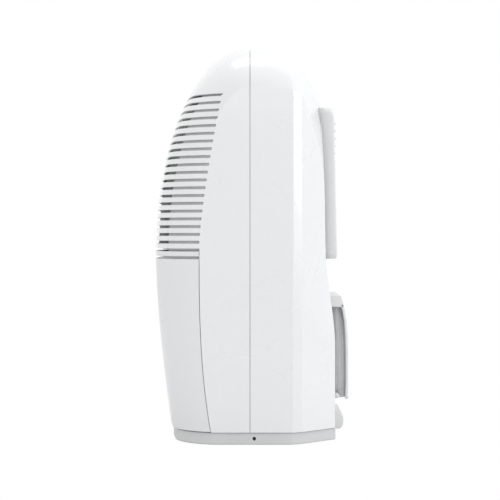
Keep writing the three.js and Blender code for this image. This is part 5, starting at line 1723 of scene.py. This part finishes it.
nut = turned("nut", [
    (0.0001, 0.0), (0.0066, 0.0), (0.0066, 0.0010), (0.0040, 0.0012), (0.0040, 0.0042),
    (0.0034, 0.0048), (0.0022, 0.0050), (0.0022, 0.0068), (0.0001, 0.0070),
], black_paint, 24)
nut_places = [(x, y, plate_z + 0.0028) for x, y, _ in mount_places]
nuts = placed("nuts", nut, nut_places, black_paint, spin=math.pi)
collar = turned("collar", [
    (0.0001, 0.0), (0.0060, 0.0), (0.0056, 0.0030), (0.0050, 0.0040), (0.0001, 0.0040),
], black_paint, 28)
collar_places = [(x, pot_y, pot_top - 0.0037) for x in (0.018, -0.018)]
collars = placed("collars", collar, collar_places, black_paint)
fitted(joined("compressor_pot", [pot, mount, nuts, collars]), "compressor")
carried("compressor_cap", 0.0015, dark_plastic)
grommet_low, grommet_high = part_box("compressor_grommet_1")
grommet_tall = grommet_high.z - grommet_low.z
grommet = turned("grommet", [
    (0.0001, 0.0), (0.0074, 0.0), (0.0080, 0.0006), (0.0080, 0.0030), (0.0070, 0.0038),
    (0.0066, 0.0050), (0.0070, grommet_tall - 0.0038), (0.0080, grommet_tall - 0.0030),
    (0.0080, grommet_tall - 0.0006), (0.0074, grommet_tall), (0.0001, grommet_tall),
], rubber, 36)
grommet_places = [(x, y, grommet_low.z) for x, y, _ in mount_places]
fitted(placed("compressor_grommets", grommet, grommet_places, rubber), *grommet_nodes)

# ------------------------------------------------------------------ refrigerant pipes and drier
# Bent copper tube from the pot to the coils and back, brazed at each end, with a spun copper
# drier and a fine capillary between the two coils.


def bent(points, count=12):
    """Points in metres along a smooth bend through places given in millimetres."""
    whole = [Vector(p) / 1000 for p in points]
    whole = [2 * whole[0] - whole[1]] + whole + [2 * whole[-1] - whole[-2]]
    line = []
    for p0, p1, p2, p3 in zip(whole, whole[1:], whole[2:], whole[3:]):
        m1, m2 = 0.3 * (p2 - p0), 0.3 * (p3 - p1)
        for k in range(count):
            t = k / count
            line.append(
                (2 * t**3 - 3 * t**2 + 1) * p1 + (t**3 - 2 * t**2 + t) * m1
                + (3 * t**2 - 2 * t**3) * p2 + (t**3 - t**2) * m2
            )
    return line + [whole[-2]]


def brazed(node, pieces, y, z, radius):
    """A pipe with a short swaged collar where it is brazed to a coil's stub."""
    collar = turned("braze", [
        (0.0001, -0.0030), (radius, -0.0030), (radius + 0.0007, -0.0024),
        (radius + 0.0007, 0.0024), (radius, 0.0030), (0.0001, 0.0030),
    ], copper, 20)
    collar_x = stub / 1000 + 0.0034
    fitted(joined(node + "_run", pieces + [moved(collar, across(collar_x, y, z))]), node)


high_z, low_z = first_pass * 1000, (first_pass - (coil_passes - 1) * pass_pitch) * 1000
stub = tube_end * 1000 + 0.4
brazed("discharge_pipe", [tube("discharge", bent([
    (18, 58, 178.6), (22, 58, 196.6), (70, 56, 218), (128, 56, 232), (132, 56, 260),
    (132, 56, 400), (138, 52, 426), (137, 44, 433), (stub + 5, 41, high_z), (stub, 41, high_z),
]), 0.003)], 0.041, first_pass, 0.003)
brazed("suction_pipe", [tube("suction", bent([
    (-18, 58, 178.6), (-16, 61, 192.6), (30, 70, 205), (118, 72, 222), (137, 69, 245),
    (138, 69, 275), (stub + 5, 69, low_z), (stub, 69, low_z),
]), 0.0036)], 0.069, low_z / 1000, 0.0036)
drier_x, drier_y = 0.144, 0.036
drier = turned("drier", [
    (0.0001, 0.190), (0.0022, 0.190), (0.0030, 0.1915), (0.0074, 0.1980), (0.0080, 0.2000),
    (0.0080, 0.2030), (0.0076, 0.2040), (0.0080, 0.2050), (0.0080, 0.2340), (0.0076, 0.2350),
    (0.0080, 0.2360), (0.0080, 0.2385), (0.0072, 0.2405), (0.0030, 0.2465), (0.0024, 0.2480),
    (0.0001, 0.2480),
], copper, 40, Matrix.Translation((drier_x, drier_y, 0.0)))
brazed("filter_drier", [drier, tube("drier feed", bent([
    (144, 36, 244), (144, 36, 268), (140, 40, 282), (stub + 4, 41, low_z), (stub, 41, low_z),
]), 0.0024)], 0.041, low_z / 1000, 0.0024)
fitted(tube("capillary_run", bent([
    (144, 36, 189.4), (146, 38, 176), (152, 48, 176), (152, 54, 200), (147, 63, 300),
    (144, 65, 410), (140, 69, 431), (stub + 4, 69, high_z), (stub, 69, high_z),
]), 0.0015, 12), "capillary_tube")

# ------------------------------------------------------------------ run capacitor
# An aluminium can with a rolled seam at its top and two tin-plated blade terminals, held upright
# beside the compressor.
can_low, can_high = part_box("run_capacitor")
can_middle = (can_low + can_high) / 2
can_radius, can_tall = (can_high.x - can_low.x) / 2, can_high.z - can_low.z
can = turned("capacitor_can", [
    (0.0001, 0.0), (can_radius - 0.0020, 0.0), (can_radius - 0.0006, 0.0006),
    (can_radius, 0.0020), (can_radius, can_tall - 0.0050), (can_radius - 0.0008, can_tall - 0.0040),
    (can_radius - 0.0008, can_tall - 0.0034), (can_radius, can_tall - 0.0024),
    (can_radius, can_tall - 0.0008), (can_radius - 0.0006, can_tall),
    (can_radius - 0.0020, can_tall), (can_radius - 0.0026, can_tall - 0.0022),
    (0.0001, can_tall - 0.0026),
], aluminium, 56, Matrix.Translation((can_middle.x, can_middle.y, can_low.z)))
terminals = bar_row(
    "terminals", aluminium, (can_middle.x - 0.0060, can_middle.y, can_high.z - 0.0028), 0.0080,
    (0.0008, 0.0062, 0.0002), 2, (0.0120, 0.0, 0.0),
)
fitted(joined("capacitor_can", [can, terminals]), "run_capacitor")
